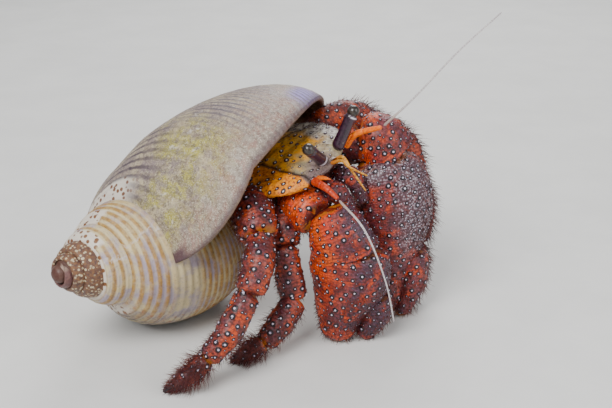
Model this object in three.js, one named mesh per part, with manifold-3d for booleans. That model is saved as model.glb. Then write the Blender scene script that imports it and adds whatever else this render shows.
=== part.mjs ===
// White-spotted hermit crab in a tun shell, life size, standing still.
// Millimetres, +Z up. The crab faces +X and a little towards -Y; the shell's apex points to -X and -Y.
// The floor is Z = 0: the shell and the tips of the legs and claws rest on it with small flats.
import * as THREE from 'three';
import { mergeVertices } from 'three/addons/utils/BufferGeometryUtils.js';
import Module from 'manifold-3d';

const wasm = await Module();
wasm.setup();

// ---------------------------------------------------------------- driving dimensions

const JOINT_GAP = 0.35;        // free space round every plate, so that no two solids touch
const FLOOR_DEPTH = 30;        // how far the trimming block reaches below the floor

// The tun shell is a spiral of elliptical whorls that grow round a lying axis.
const SHELL = {
  apex: new THREE.Vector3(-85.4, -32.5, 36),
  axis: new THREE.Vector3(-0.658, -0.748, 0.088),   // from the mouth end up to the apex
  lipAngle: 2.831,             // where the lip stands round the axis, in radians
  sutureRadius: 20.6,          // radius of the seam between whorls, at the lip
  sutureDrop: 31.9,            // how far below the apex that seam meets the lip
  radiusGrowth: 1.452,         // growth of the seam's radius in one turn
  dropGrowth: 1.623,           // growth of the seam's drop in one turn
  whorlGrowth: 1.859,          // growth of the whorl's section in one turn
  whorlRadius: 17.4,           // half-axes of the whorl's section at the lip
  whorlHeight: 44.7,
  baseAngle: -2.267,           // where the section ends, at the foot of the columella
  lipSkewTop: 1.231,           // the lip runs ahead at the seam and lags at the foot
  lipSkewFoot: -0.097,
  lipHollow: -0.177,           // and is drawn back between them
  lipReach: 0.934,             // angle over which the lip's skew and flare build up
  flare: 0.53,
  flareCentre: -0.547,         // radius that flare and swell grow from, as a share of the widest
  flareDrop: 0.077,            // share of them that lengthens the section
  swell: 0.141,                // how much the body whorl bulges
  swellStart: -5.5,            // angles between which that bulge builds up
  swellReach: 2.5,
  flareStart: 1.9,             // angle before the lip where the finer sections begin
  turns: 5,
  tipRadius: 3.4,              // of the round first whorl, whose middle is sunk by tipDrop
  tipDrop: 4,
  wall: 2.2,
  mouthDepth: 2.2,             // angle that the hollow reaches back from the lip
  columellaTop: 9,             // radii of the pillar in the mouth, and where its top is
  columellaFoot: 1.6,
  columellaDrop: 40,
};

// The crab's own axes: forward is where it looks, dorsal is out of its back.
const FORWARD = new THREE.Vector3(0.72, -0.675, 0.143).normalize();
const DORSAL_HINT = new THREE.Vector3(-0.354, -0.184, 0.912);
const RIGHT = FORWARD.clone().cross(DORSAL_HINT).normalize();
const DORSAL = RIGHT.clone().cross(FORWARD).normalize();
const BACK_CENTRE = new THREE.Vector3(-4.7, 9.2, 66.4);    // middle of the shield's top

// Each limb is a chain of plates from the body to the tip. A plate's path runs through its points;
// width and depth are half-thicknesses along the path, and wide is the direction of the width.
const LIMBS = {
  claw_right: {
    wide: [0.95, -0.3, 0.1],
    merus: { path: [[-6, 3.4, 48.6], [-1, -3.5, 49.6], [4.2, -9.4, 47]],
      width: [6, 7.8, 7.6], depth: [7, 7.8, 7.2] },
    carpus: { path: [[7.4, -7.6, 50.6], [11.4, -9.4, 42], [15, -9.6, 32.6]],
      width: [7.4, 10.8, 13], depth: [7.4, 9.6, 9.4] },
    palm: { path: [[15.4, -9, 37], [15.6, -9.4, 24.6], [12.4, -10, 11.6], [11.6, -10.6, -0.8]],
      width: [13.2, 15, 12.2, 8, 5.2], depth: [9.4, 10.6, 9.4, 6.6, 4.4] },
    finger: { path: [[24, -9.6, 17], [25, -9.6, 9], [20.6, -9.4, -0.2]],
      width: [6.4, 6.4, 4.8, 2.8], depth: [6, 6.2, 5, 3.2] },
  },
  claw_left: {
    wide: [0.9, 0.35, -0.2],
    merus: { path: [[12, 20.3, 61.8], [16.5, 19.6, 65], [21, 19.2, 67.3]],
      width: [6.4, 7.4, 7.6], depth: [6.4, 7.4, 7.6], wide: [-0.2, 0.9, 0.1] },
    carpus: { path: [[19.5, 19.2, 67.6], [26, 18.4, 66.6], [31.5, 18.4, 60.4]],
      width: [8, 10.6, 11], depth: [8, 11, 11], wide: [0.1, 0.9, 0.1] },
    palm: { path: [[28, 16.5, 63], [32.4, 13.5, 45], [33, 11, 27], [28.5, 6, -1.2]],
      width: [11, 15, 15.5, 12.4, 7, 4.6], depth: [10, 11.6, 11.6, 9.6, 6.6, 4] },
    finger: { path: [[39.6, 12.8, 26], [40.2, 11, 13], [35.6, 7.6, -0.2]],
      width: [6.2, 6.8, 5.2, 2.8], depth: [6.4, 6.6, 5, 3] },
  },
  leg_right_front: {
    wide: [0.28, 0.68, -0.64],
    merus: { path: [[-8.3, 0.8, 47], [-8, -5, 42], [-6.8, -9.8, 36.2]],
      width: [5, 5.4, 5], depth: [5.4, 5.8, 5.2] },
    carpus: { path: [[-7.2, -9.6, 37.4], [-6, -13.4, 27], [-3.9, -15, 18]],
      width: [4.2, 5, 4.8], depth: [4.4, 5, 4.8] },
    propodus: { path: [[-3.6, -15.4, 18.8], [-8.8, -21.4, 12.6], [-15, -26.4, 6.4]],
      width: [4.4, 5, 3.8], depth: [4.4, 4.8, 3.6] },
    dactyl: { path: [[-14.4, -26.2, 7.2], [-21, -27.6, 3.6], [-26.6, -27.8, -0.2]],
      width: [3.4, 3, 1.1], depth: [3.4, 3, 1.1] },
  },
  leg_right_rear: {
    wide: [0.52, 0.23, -0.78],
    merus: { path: [[-19.6, -1, 51.4], [-18.4, -11.5, 49.4], [-15.6, -19.8, 44.2]],
      width: [6.4, 7.6, 6.4], depth: [6.6, 7.6, 6.6] },
    carpus: { path: [[-15.3, -19.4, 45.4], [-16, -29, 38.5], [-19.2, -34.2, 29.6]],
      width: [4.6, 5.4, 5], depth: [4.6, 5.4, 5] },
    propodus: { path: [[-18.8, -33.8, 30.6], [-25.4, -41, 20], [-33, -45, 10.8]],
      width: [4.4, 4.6, 3.7], depth: [4.4, 4.6, 3.6] },
    dactyl: { path: [[-32.4, -44.8, 11.6], [-39.5, -46.8, 6], [-47.6, -46.6, -0.2]],
      width: [3.5, 3.1, 1.2], depth: [3.5, 3.1, 1.2] },
  },
  leg_left_front: {
    wide: [-0.3, 0.8, -0.5],
    merus: { path: [[2.3, 32, 66.4], [16, 38.6, 69.6], [29.5, 41, 63]],
      width: [5.4, 6.6, 6], depth: [6, 7, 6.2] },
    carpus: { path: [[28.6, 40.8, 64], [38, 40.4, 58], [43, 37.6, 47]],
      width: [4.8, 5.6, 5.2], depth: [5, 6, 5.4] },
    propodus: { path: [[42.6, 37.8, 48], [45.6, 31.6, 34.6], [43.8, 25.6, 22]],
      width: [4.6, 5, 4], depth: [4.8, 5.2, 4.2] },
    dactyl: { path: [[44, 26, 23], [42.4, 21.4, 11], [38, 17.6, -0.6]],
      width: [3.8, 3.4, 1.2], depth: [3.8, 3.4, 1.2] },
  },
  leg_left_rear: {
    wide: [-0.74, 0.53, -0.28],
    merus: { path: [[-2.4, 41, 59.6], [7, 53, 58], [17.6, 63, 49]],
      width: [5.2, 6.2, 5.4], depth: [5.6, 6.4, 5.6] },
    carpus: { path: [[17, 62.4, 50], [26.5, 69.6, 43], [33.6, 73, 31.6]],
      width: [4.4, 5.2, 4.6], depth: [4.6, 5.4, 4.8] },
    propodus: { path: [[33.2, 72.8, 32.6], [39.4, 72, 21], [41, 68, 10]],
      width: [4.2, 4.4, 3.4], depth: [4.4, 4.6, 3.6] },
    dactyl: { path: [[40.8, 68.4, 11], [40, 61.6, 5], [36, 55, -0.2]],
      width: [3.2, 2.8, 1.1], depth: [3.2, 2.8, 1.1] },
  },
};

const EYES = {
  right: { base: [6, -1.7, 66], tip: [0.9, -14, 74.4] },
  left: { base: [10.7, 3.5, 68.3], tip: [16.6, 5, 82] },
};
const EYE = { baseRadius: 2.4, waistRadius: 2.1, tipRadius: 2.2, corneaRadius: 2.15 };

const ANTENNULES = {
  right: [[8.8, -3, 65.7], [12.5, -7.4, 68.1], [14.7, -11.9, 67.5], [20.7, -20.6, 67.4]],
  left: [[9.9, -0.7, 66], [12.8, -6.3, 69], [15.8, -11.1, 65.8], [20.2, -20.6, 62]],
};
const ANTENNULE_WIDTH = [0.9, 0.8, 0.7, 0.5, 0.35];

const ANTENNAE = {
  right: {
    base: [[2.8, -8.1, 60.9], [6.8, -14.6, 60.8], [10.9, -17.9, 58.1]],
    flagellum: [[11.3, -18.3, 57.7], [19.7, -27.5, 50.4], [26.6, -31.8, 34.3], [30, -33.6, 19.3]],
  },
  left: {
    base: [[14, 7.8, 68.4], [17.8, 5.6, 73.6], [26.6, 0.8, 77.7]],
    flagellum: [[27.2, 0.8, 78.2], [37.7, 0.9, 88.6], [52.7, 3.1, 104.6], [66.7, 5.9, 117.1]],
  },
};
const PEDUNCLE_WIDTH = [2, 1.6, 1];
const FLAGELLUM_WIDTH = [0.6, 0.45, 0.35, 0.3];

// ---------------------------------------------------------------- materials

function finish(color, roughness) {
  return new THREE.MeshStandardMaterial({ color, roughness, metalness: 0 });
}
const SHELL_FINISH = finish(0xc9bda0, 0.55);
const SHIELD_FINISH = finish(0xd8a24a, 0.5);
const BODY_FINISH = finish(0x7c3a34, 0.6);
const PLATE_FINISH = finish(0xb8401c, 0.45);
const STALK_FINISH = finish(0x3d2238, 0.4);
const CORNEA_FINISH = finish(0x3a3330, 0.15);
const FEELER_FINISH = finish(0xd87a20, 0.45);

// ---------------------------------------------------------------- shape helpers

// A smooth value along a list of numbers or points, for s from 0 to 1.
function along(list, s) {
  const count = list.length - 1;
  const at = Math.min(Math.floor(s * count), count - 1);
  const f = s * count - at;
  const pick = (i) => {
    if (i < 0) return mix(list[0], list[1], -1);
    if (i > count) return mix(list[count], list[count - 1], -1);
    return list[i];
  };
  const [a, b, c, d] = [pick(at - 1), pick(at), pick(at + 1), pick(at + 2)];
  const cubic = (p, q, r, t) => q + 0.5 * f * (r - p + f * (2 * p - 5 * q + 4 * r - t
    + f * (3 * (q - r) + t - p)));
  if (typeof b === 'number') return cubic(a, b, c, d);
  return b.map((_, k) => cubic(a[k], b[k], c[k], d[k]));
}

function mix(a, b, f) {
  if (typeof a === 'number') return a + (b - a) * f;
  return a.map((value, k) => value + (b[k] - value) * f);
}

const toVector = (list) => new THREE.Vector3(...list);

// A closed solid whose rings of points follow each other; its ends are closed by fans.
function solidFromRings(rings) {
  const sides = rings[0].length;
  const positions = [];
  for (const ring of rings) for (const p of ring) positions.push(p.x, p.y, p.z);
  const ends = [rings[0], rings.at(-1)].map((ring) => {
    const middle = ring.reduce((sum, p) => sum.add(p), new THREE.Vector3()).divideScalar(sides);
    positions.push(middle.x, middle.y, middle.z);
    return positions.length / 3 - 1;
  });
  const triangles = [];
  for (let i = 0; i < rings.length - 1; i++) {
    for (let j = 0; j < sides; j++) {
      const k = (j + 1) % sides;
      const [a, b, c, d] = [i * sides + j, i * sides + k, (i + 1) * sides + k, (i + 1) * sides + j];
      triangles.push(a, b, c, a, c, d);
    }
  }
  const last = (rings.length - 1) * sides;
  for (let j = 0; j < sides; j++) {
    const k = (j + 1) % sides;
    triangles.push(ends[0], k, j, ends[1], last + j, last + k);
  }
  return solidFromTriangles(positions, triangles);
}

function solidFromTriangles(positions, triangles) {
  const vertProperties = new Float32Array(positions);
  const make = (list) => new wasm.Manifold(new wasm.Mesh({
    numProp: 3, vertProperties, triVerts: new Uint32Array(list) }));
  const solid = make(triangles);
  if (solid.volume() > 0) return solid;
  const flipped = [];
  for (let i = 0; i < triangles.length; i += 3) {
    flipped.push(triangles[i], triangles[i + 2], triangles[i + 1]);
  }
  return make(flipped);
}

function solidFromGeometry(geometry) {
  geometry.deleteAttribute('normal');
  geometry.deleteAttribute('uv');
  const merged = mergeVertices(geometry);
  return solidFromTriangles(merged.attributes.position.array, [...merged.index.array]);
}

function geometryFromSolid(solid) {
  const mesh = solid.getMesh();
  const geometry = new THREE.BufferGeometry();
  geometry.setAttribute('position', new THREE.BufferAttribute(mesh.vertProperties, 3));
  geometry.setIndex(new THREE.BufferAttribute(mesh.triVerts, 1));
  geometry.computeVertexNormals();
  return geometry;
}

// A plate: elliptical rings along a path, with rounded ends, grown by a margin all over.
function plate({ path, width, depth, wide, sides = 10, rings = 7, round = 0.16 }, margin = 0) {
  const start = toVector(along(path, 0));
  const end = toVector(along(path, 1));
  const stretch = margin / start.distanceTo(end);
  const list = [];
  for (let i = 0; i <= rings; i++) {
    const s = (1 - Math.cos(Math.PI * (i + 0.5) / (rings + 1))) / 2;
    const centre = toVector(along(path, s));
    const step = 0.01;
    const ahead = toVector(along(path, Math.min(s + step, 1)));
    const tangent = ahead.sub(toVector(along(path, Math.max(s - step, 0)))).normalize();
    centre.addScaledVector(tangent, (2 * s - 1) * margin);
    const across = toVector(wide).addScaledVector(tangent, -toVector(wide).dot(tangent)).normalize();
    const over = tangent.clone().cross(across);
    const nearEnd = Math.min(s, 1 - s) / round;
    const cap = nearEnd < 1 ? Math.sqrt(1 - (1 - nearEnd) ** 2) : 1;
    const w = along(width, s) * cap + margin;
    const d = along(depth, s) * cap + margin;
    const ring = [];
    for (let j = 0; j < sides; j++) {
      const angle = (2 * Math.PI * j) / sides;
      ring.push(centre.clone().addScaledVector(across, w * Math.cos(angle))
        .addScaledVector(over, d * Math.sin(angle)));
    }
    list.push(ring);
  }
  return solidFromRings(list);
}

// ---------------------------------------------------------------- the tun shell

const SHELL_UP = SHELL.axis.clone().normalize();
const SHELL_SIDE = new THREE.Vector3(1, 0, 0).cross(SHELL_UP).normalize();
const SHELL_FRONT = SHELL_UP.clone().cross(SHELL_SIDE).normalize();
const TURN = 2 * Math.PI;
const AXIS_HOLE = 0.3;
const INNER_INSET = 0.3;         // the wall that shows inside the mouth lies just under the outer one
const FLARE_SPAN = 0.9;          // the flare fades out just short of the foot
const SEAM_STEPS = 4;
const FOOT_STEPS = 7;
const STEPS = { spire: 12, body: 18, mouth: 28, inside: 12 };     // sections in one turn

const seam = (turn) => [SHELL.sutureRadius * SHELL.radiusGrowth ** (turn / TURN),
  -SHELL.sutureDrop * SHELL.dropGrowth ** (turn / TURN)];

const easeInOut = (x) => x * x * (3 - 2 * x);

// How far a section shares in the lip's flare and skew, from 0 well behind it to 1 at the lip.
const lipShare = (turn) => easeInOut(THREE.MathUtils.clamp(turn / SHELL.lipReach + 1, 0, 1));

// How far a section of the body whorl bulges, from 0 where that whorl begins to 1.
const swellShare = (turn) => easeInOut(
  THREE.MathUtils.clamp((turn - SHELL.swellStart) / SHELL.swellReach, 0, 1));

// Points of one whorl's outer wall, as radius and height, from its seam down. It is the arc of an
// ellipse that runs through this whorl's seam and the next one's, and on to the foot if whole.
function whorlArc(turn, whole) {
  const grown = SHELL.whorlGrowth ** (turn / TURN);
  const size = [SHELL.whorlRadius * grown, SHELL.whorlHeight * grown];
  const p = seam(turn + SHELL.lipSkewTop * lipShare(turn)).map((value, k) => value / size[k]);
  const q = seam(turn + TURN).map((value, k) => value / size[k]);
  const chord = [q[0] - p[0], q[1] - p[1]];
  const length = Math.hypot(...chord);
  const height = Math.sqrt(Math.max(1 - (length / 2) ** 2, 1e-3));
  const side = [chord[1] / length, -chord[0] / length];
  const middle = [(p[0] + q[0]) / 2, (p[1] + q[1]) / 2];
  const centre = [-1, 1].map((sign) => [middle[0] + sign * side[0] * height,
    middle[1] + sign * side[1] * height]).sort((a, b) => a[0] - b[0])[0];
  const from = Math.atan2(p[1] - centre[1], p[0] - centre[0]);
  let to = Math.atan2(q[1] - centre[1], q[0] - centre[0]);
  while (to > from) to -= TURN;
  const angles = [];
  for (let i = 0; i <= SEAM_STEPS; i++) angles.push(from + (to - from) * i / SEAM_STEPS);
  for (let i = 1; whole && i <= FOOT_STEPS; i++) {
    angles.push(to + (SHELL.baseAngle - to) * i / FOOT_STEPS);
  }
  return angles.map((angle) => [(centre[0] + Math.cos(angle)) * size[0],
    (centre[1] + Math.sin(angle)) * size[1]]);
}

// How far the lip runs ahead of its angle, from the seam (f = 0) to the foot (f = 1).
const lipSkew = (f) => SHELL.lipSkewTop + (SHELL.lipSkewFoot - SHELL.lipSkewTop) * f
  + SHELL.lipHollow * 4 * f * (1 - f);

// One section of the shell's solid: from the axis out along the wall, moved in by inset.
function shellRing(turn, whole, inset) {
  let arc = whorlArc(turn, whole);
  const share = lipShare(turn);
  const last = arc.length - 1;
  if (whole) {
    const widest = Math.max(...arc.map((p) => p[0]));
    const level = arc.reduce((sum, p) => sum + p[1], 0) / arc.length;
    arc = arc.map(([r, z], i) => {
      const push = Math.sin(Math.PI * FLARE_SPAN * i / last) * SHELL.flare * share
        + Math.sin(Math.PI * i / last) * SHELL.swell * swellShare(turn);
      return [r + (r - SHELL.flareCentre * widest) * push, z + (z - level) * push * SHELL.flareDrop];
    });
  }
  const moved = arc.map(([r, z], i) => {
    const [before, after] = [arc[Math.max(i - 1, 0)], arc[Math.min(i + 1, last)]];
    const run = [after[0] - before[0], after[1] - before[1]];
    const length = Math.hypot(...run);
    return [r + run[1] / length * inset, z - run[0] / length * inset];
  });
  moved.unshift([AXIS_HOLE, moved[0][1]]);
  moved.push([AXIS_HOLE, moved[last + 1][1]]);
  return moved.map(([r, z], i) => {
    const f = THREE.MathUtils.clamp((i - 1) / last, 0, 1);
    const skew = whole ? share * lipSkew(f) : 0;
    const angle = SHELL.lipAngle - turn - skew;
    return SHELL.apex.clone()
      .addScaledVector(SHELL_SIDE, Math.max(r, AXIS_HOLE) * Math.cos(angle))
      .addScaledVector(SHELL_FRONT, Math.max(r, AXIS_HOLE) * Math.sin(angle))
      .addScaledVector(SHELL_UP, z);
  });
}

// The solid that the wall encloses between two angles, made of slices of at most a third of a turn.
function spiralSolid(from, to, stepsPerTurn, whole, inset) {
  const slices = Math.ceil((to - from) / (TURN / 3));
  const parts = [];
  for (let k = 0; k < slices; k++) {
    const start = from + (to - from) * k / slices;
    const end = from + (to - from) * (k + 1) / slices;
    const steps = Math.max(2, Math.round((end - start) / TURN * stepsPerTurn));
    const overlap = k ? (end - start) / steps : 0;
    const rings = [];
    if (overlap) rings.push(shellRing(start - overlap, whole, inset));
    for (let i = 0; i <= steps; i++) rings.push(shellRing(start + (end - start) * i / steps, whole, inset));
    parts.push(solidFromRings(rings));
  }
  return wasm.Manifold.union(parts);
}

function axisRod(topDrop, footDrop, topRadius, footRadius) {
  const rod = new THREE.CylinderGeometry(topRadius, footRadius, footDrop - topDrop, 10);
  rod.applyQuaternion(new THREE.Quaternion().setFromUnitVectors(new THREE.Vector3(0, 1, 0), SHELL_UP));
  const middle = SHELL.apex.clone().addScaledVector(SHELL_UP, -(topDrop + footDrop) / 2);
  rod.translate(middle.x, middle.y, middle.z);
  return solidFromGeometry(rod);
}

function shellParts(margin) {
  const footDrop = -whorlArc(0, true).at(-1)[1];
  const spire = spiralSolid(-SHELL.turns * TURN, -TURN, STEPS.spire, false, -margin);
  const body = spiralSolid(-TURN, -SHELL.flareStart, STEPS.body, true, -margin);
  const mouth = spiralSolid(-SHELL.flareStart - 0.2, 0, STEPS.mouth, true, -margin);
  const inner = spiralSolid(-TURN - SHELL.mouthDepth - 0.2, -TURN + 1.2, STEPS.inside, true,
    INNER_INSET - margin);
  const rod = axisRod(SHELL.tipDrop, footDrop, 1, 1 + margin);
  const tip = solidFromGeometry(new THREE.SphereGeometry(SHELL.tipRadius + margin, 10, 7)
    .translate(...SHELL.apex.clone().addScaledVector(SHELL_UP, -SHELL.tipDrop).toArray()));
  const columella = axisRod(SHELL.columellaDrop, footDrop, SHELL.columellaTop + margin,
    SHELL.columellaFoot + margin);
  const hollow = spiralSolid(-SHELL.mouthDepth, 0.14, STEPS.inside, true, SHELL.wall + margin);
  const core = wasm.Manifold.union([inner, rod, tip, columella]);
  return { full: wasm.Manifold.union([spire, body, mouth, core]), room: hollow.subtract(core) };
}

const LIMB_MESH = { claw: { sides: 10, rings: 6, round: 0.11 }, leg: { sides: 8, rings: 5, round: 0.11 } };

// ---------------------------------------------------------------- placing the pieces

const crab = new THREE.Group();
const placed = [];
const floor = solidFromGeometry(new THREE.BoxGeometry(400, 400, FLOOR_DEPTH)
  .translate(0, 0, -FLOOR_DEPTH / 2));

function largestPiece(solid) {
  return solid.decompose().sort((a, b) => b.volume() - a.volume())[0];
}

// Adds a solid, cut clear of the floor and of the grown shapes of all pieces placed before it.
function place(name, solid, grown, material) {
  let shape = solid.subtract(floor);
  for (const other of placed) {
    if (shape.intersect(other).volume() > 0) shape = shape.subtract(other);
  }
  const mesh = new THREE.Mesh(geometryFromSolid(largestPiece(shape)), material);
  mesh.name = name;
  crab.add(mesh);
  placed.push(grown);
}

function placePlate(name, options, material) {
  place(name, plate(options), plate(options, JOINT_GAP), material);
}

function placeShell() {
  const tight = shellParts(0);
  const loose = shellParts(JOINT_GAP);
  place('shell', tight.full.subtract(tight.room), loose.full.subtract(loose.room), SHELL_FINISH);
}

// A point in the crab's own axes, from the middle of its back.
function onBack(forward, right, up) {
  return BACK_CENTRE.clone().addScaledVector(FORWARD, forward).addScaledVector(RIGHT, right)
    .addScaledVector(DORSAL, up).toArray();
}

function placeBody() {
  const right = RIGHT.toArray();
  placePlate('shield', { path: [onBack(-21, 1, -2), onBack(0, 1.5, -3), onBack(18, 0.5, -4)],
    width: [15, 21, 20, 12.5], depth: [3.4, 4.2, 3.8, 2.6], wide: right, sides: 14, rings: 7,
    round: 0.2 }, SHIELD_FINISH);
  placePlate('thorax', { path: [onBack(-24, 0, -18), onBack(-4, 0, -17), onBack(13, 0, -13)],
    width: [15, 18, 15, 9], depth: [11, 12.5, 10, 6], wide: right, sides: 10, rings: 6,
    round: 0.3 }, BODY_FINISH);
}

// The middle of the room inside the body whorl.
function whorlMiddle(turn) {
  const ring = whorlArc(turn, true);
  const radius = 0.62 * Math.max(...ring.map((p) => p[0]));
  const level = ring.reduce((sum, p) => sum + p[1], 0) / ring.length;
  const angle = SHELL.lipAngle - turn;
  return SHELL.apex.clone().addScaledVector(SHELL_SIDE, radius * Math.cos(angle))
    .addScaledVector(SHELL_FRONT, radius * Math.sin(angle)).addScaledVector(SHELL_UP, level)
    .toArray();
}

function placeAbdomen() {
  placePlate('abdomen', { path: [onBack(-24, 0, -20), whorlMiddle(-0.6), whorlMiddle(-1.2),
    whorlMiddle(-1.8), whorlMiddle(-2.3)], width: [15, 21, 23, 20, 12], depth: [14, 18, 16, 13, 8],
  wide: SHELL_UP.toArray(), sides: 8, rings: 6, round: 0.2 }, BODY_FINISH);
}

function placeHead() {
  const right = RIGHT.toArray();
  for (const [side, eye] of Object.entries(EYES)) {
    const middle = mix(eye.base, eye.tip, 0.5);
    const stalk = [EYE.baseRadius, EYE.waistRadius, EYE.tipRadius];
    placePlate(`eyestalk_${side}`, { path: [eye.base, middle, eye.tip], width: stalk, depth: stalk,
      wide: right, sides: 8, rings: 4 }, STALK_FINISH);
    const front = mix(eye.base, eye.tip, 1.16);
    placePlate(`eye_${side}`, { path: [mix(eye.base, eye.tip, 0.86), front],
      width: [EYE.corneaRadius, EYE.corneaRadius], depth: [EYE.corneaRadius, EYE.corneaRadius],
      wide: right, sides: 8, rings: 5, round: 0.5 }, CORNEA_FINISH);
  }
  for (const [side, sign] of [['right', 1], ['left', -1]]) {
    placePlate(`maxilliped_${side}`, {
      path: [onBack(12, 4.5 * sign, -12), onBack(19, 4.5 * sign, -14), onBack(21, 3.6 * sign, -24)],
      width: [3.4, 4, 3.4, 2.2], depth: [3, 3.6, 3, 1.8], wide: right, sides: 8, rings: 5 },
    PLATE_FINISH);
    placePlate(`antennule_${side}`, { path: ANTENNULES[side], width: ANTENNULE_WIDTH,
      depth: ANTENNULE_WIDTH, wide: right, sides: 5, rings: 9, round: 0.04 }, FEELER_FINISH);
    placePlate(`antenna_base_${side}`, { path: ANTENNAE[side].base, width: PEDUNCLE_WIDTH,
      depth: PEDUNCLE_WIDTH, wide: right, sides: 8, rings: 5 }, FEELER_FINISH);
    placePlate(`antenna_${side}`, { path: ANTENNAE[side].flagellum, width: FLAGELLUM_WIDTH,
      depth: FLAGELLUM_WIDTH, wide: right, sides: 5, rings: 12, round: 0.02 }, FEELER_FINISH);
  }
}

function placeLimbs() {
  for (const [limb, { wide, ...plates }] of Object.entries(LIMBS)) {
    for (const [name, shape] of Object.entries(plates)) {
      placePlate(`${limb}_${name}`, { wide, ...LIMB_MESH[limb.split('_')[0]], ...shape }, PLATE_FINISH);
    }
  }
}

placeShell();
placeBody();
placeLimbs();
placeHead();
placeAbdomen();

// The origin is under the middle of the whole model, on the floor.
const extent = new THREE.Box3().setFromObject(crab);
const middle = extent.getCenter(new THREE.Vector3());
crab.position.set(-middle.x, -middle.y, 0);

const model = new THREE.Group();
model.add(crab);
export default model;
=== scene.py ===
import math

import bpy
import numpy as np
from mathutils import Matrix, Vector


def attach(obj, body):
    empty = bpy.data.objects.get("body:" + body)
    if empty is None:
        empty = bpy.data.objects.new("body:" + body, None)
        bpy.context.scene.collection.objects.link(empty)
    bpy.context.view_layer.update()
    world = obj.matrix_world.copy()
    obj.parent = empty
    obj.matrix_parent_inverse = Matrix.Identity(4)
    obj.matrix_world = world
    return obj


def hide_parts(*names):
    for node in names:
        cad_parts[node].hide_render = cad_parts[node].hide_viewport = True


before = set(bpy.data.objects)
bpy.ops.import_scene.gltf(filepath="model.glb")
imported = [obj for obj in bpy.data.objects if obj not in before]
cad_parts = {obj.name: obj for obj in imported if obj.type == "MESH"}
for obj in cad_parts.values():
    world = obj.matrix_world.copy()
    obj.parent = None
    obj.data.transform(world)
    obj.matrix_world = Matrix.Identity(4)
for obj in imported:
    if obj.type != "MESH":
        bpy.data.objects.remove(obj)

MM = 0.001
TABLE_ORIGIN = np.array((10.097, -13.706, 0.0))    # where the tables' origin stands, in mm
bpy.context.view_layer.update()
TURN = 2 * math.pi
RNG = np.random.default_rng(7)

# ---------------------------------------------------------------- numbers shared with the solids

SHELL_APEX = np.array((-85.4, -32.5, 36.0))
SHELL_AXIS = (-0.658, -0.748, 0.088)
SHELL = dict(
    lip_angle=2.831, suture_radius=20.6, suture_drop=31.9, radius_growth=1.452, drop_growth=1.623,
    whorl_growth=1.859, whorl_radius=17.4, whorl_height=44.7, base_angle=-2.267,
    lip_skew_top=1.231, lip_skew_foot=-0.097, lip_hollow=-0.177, lip_reach=0.934, flare=0.53,
    flare_centre=-0.547, flare_drop=0.077, swell=0.141, swell_start=-5.5, swell_reach=2.5,
    turns=5, tip_radius=3.4, tip_drop=4.0, wall=2.2)
COLUMELLA = dict(top=9.0, foot=1.6, drop=40.0)
FLARE_SPAN = 0.9
SEAM_STEPS = 4
FOOT_STEPS = 7

FORWARD = (0.72, -0.675, 0.143)
DORSAL_HINT = (-0.354, -0.184, 0.912)
BACK_CENTRE = np.array((-4.7, 9.2, 66.4))

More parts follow.
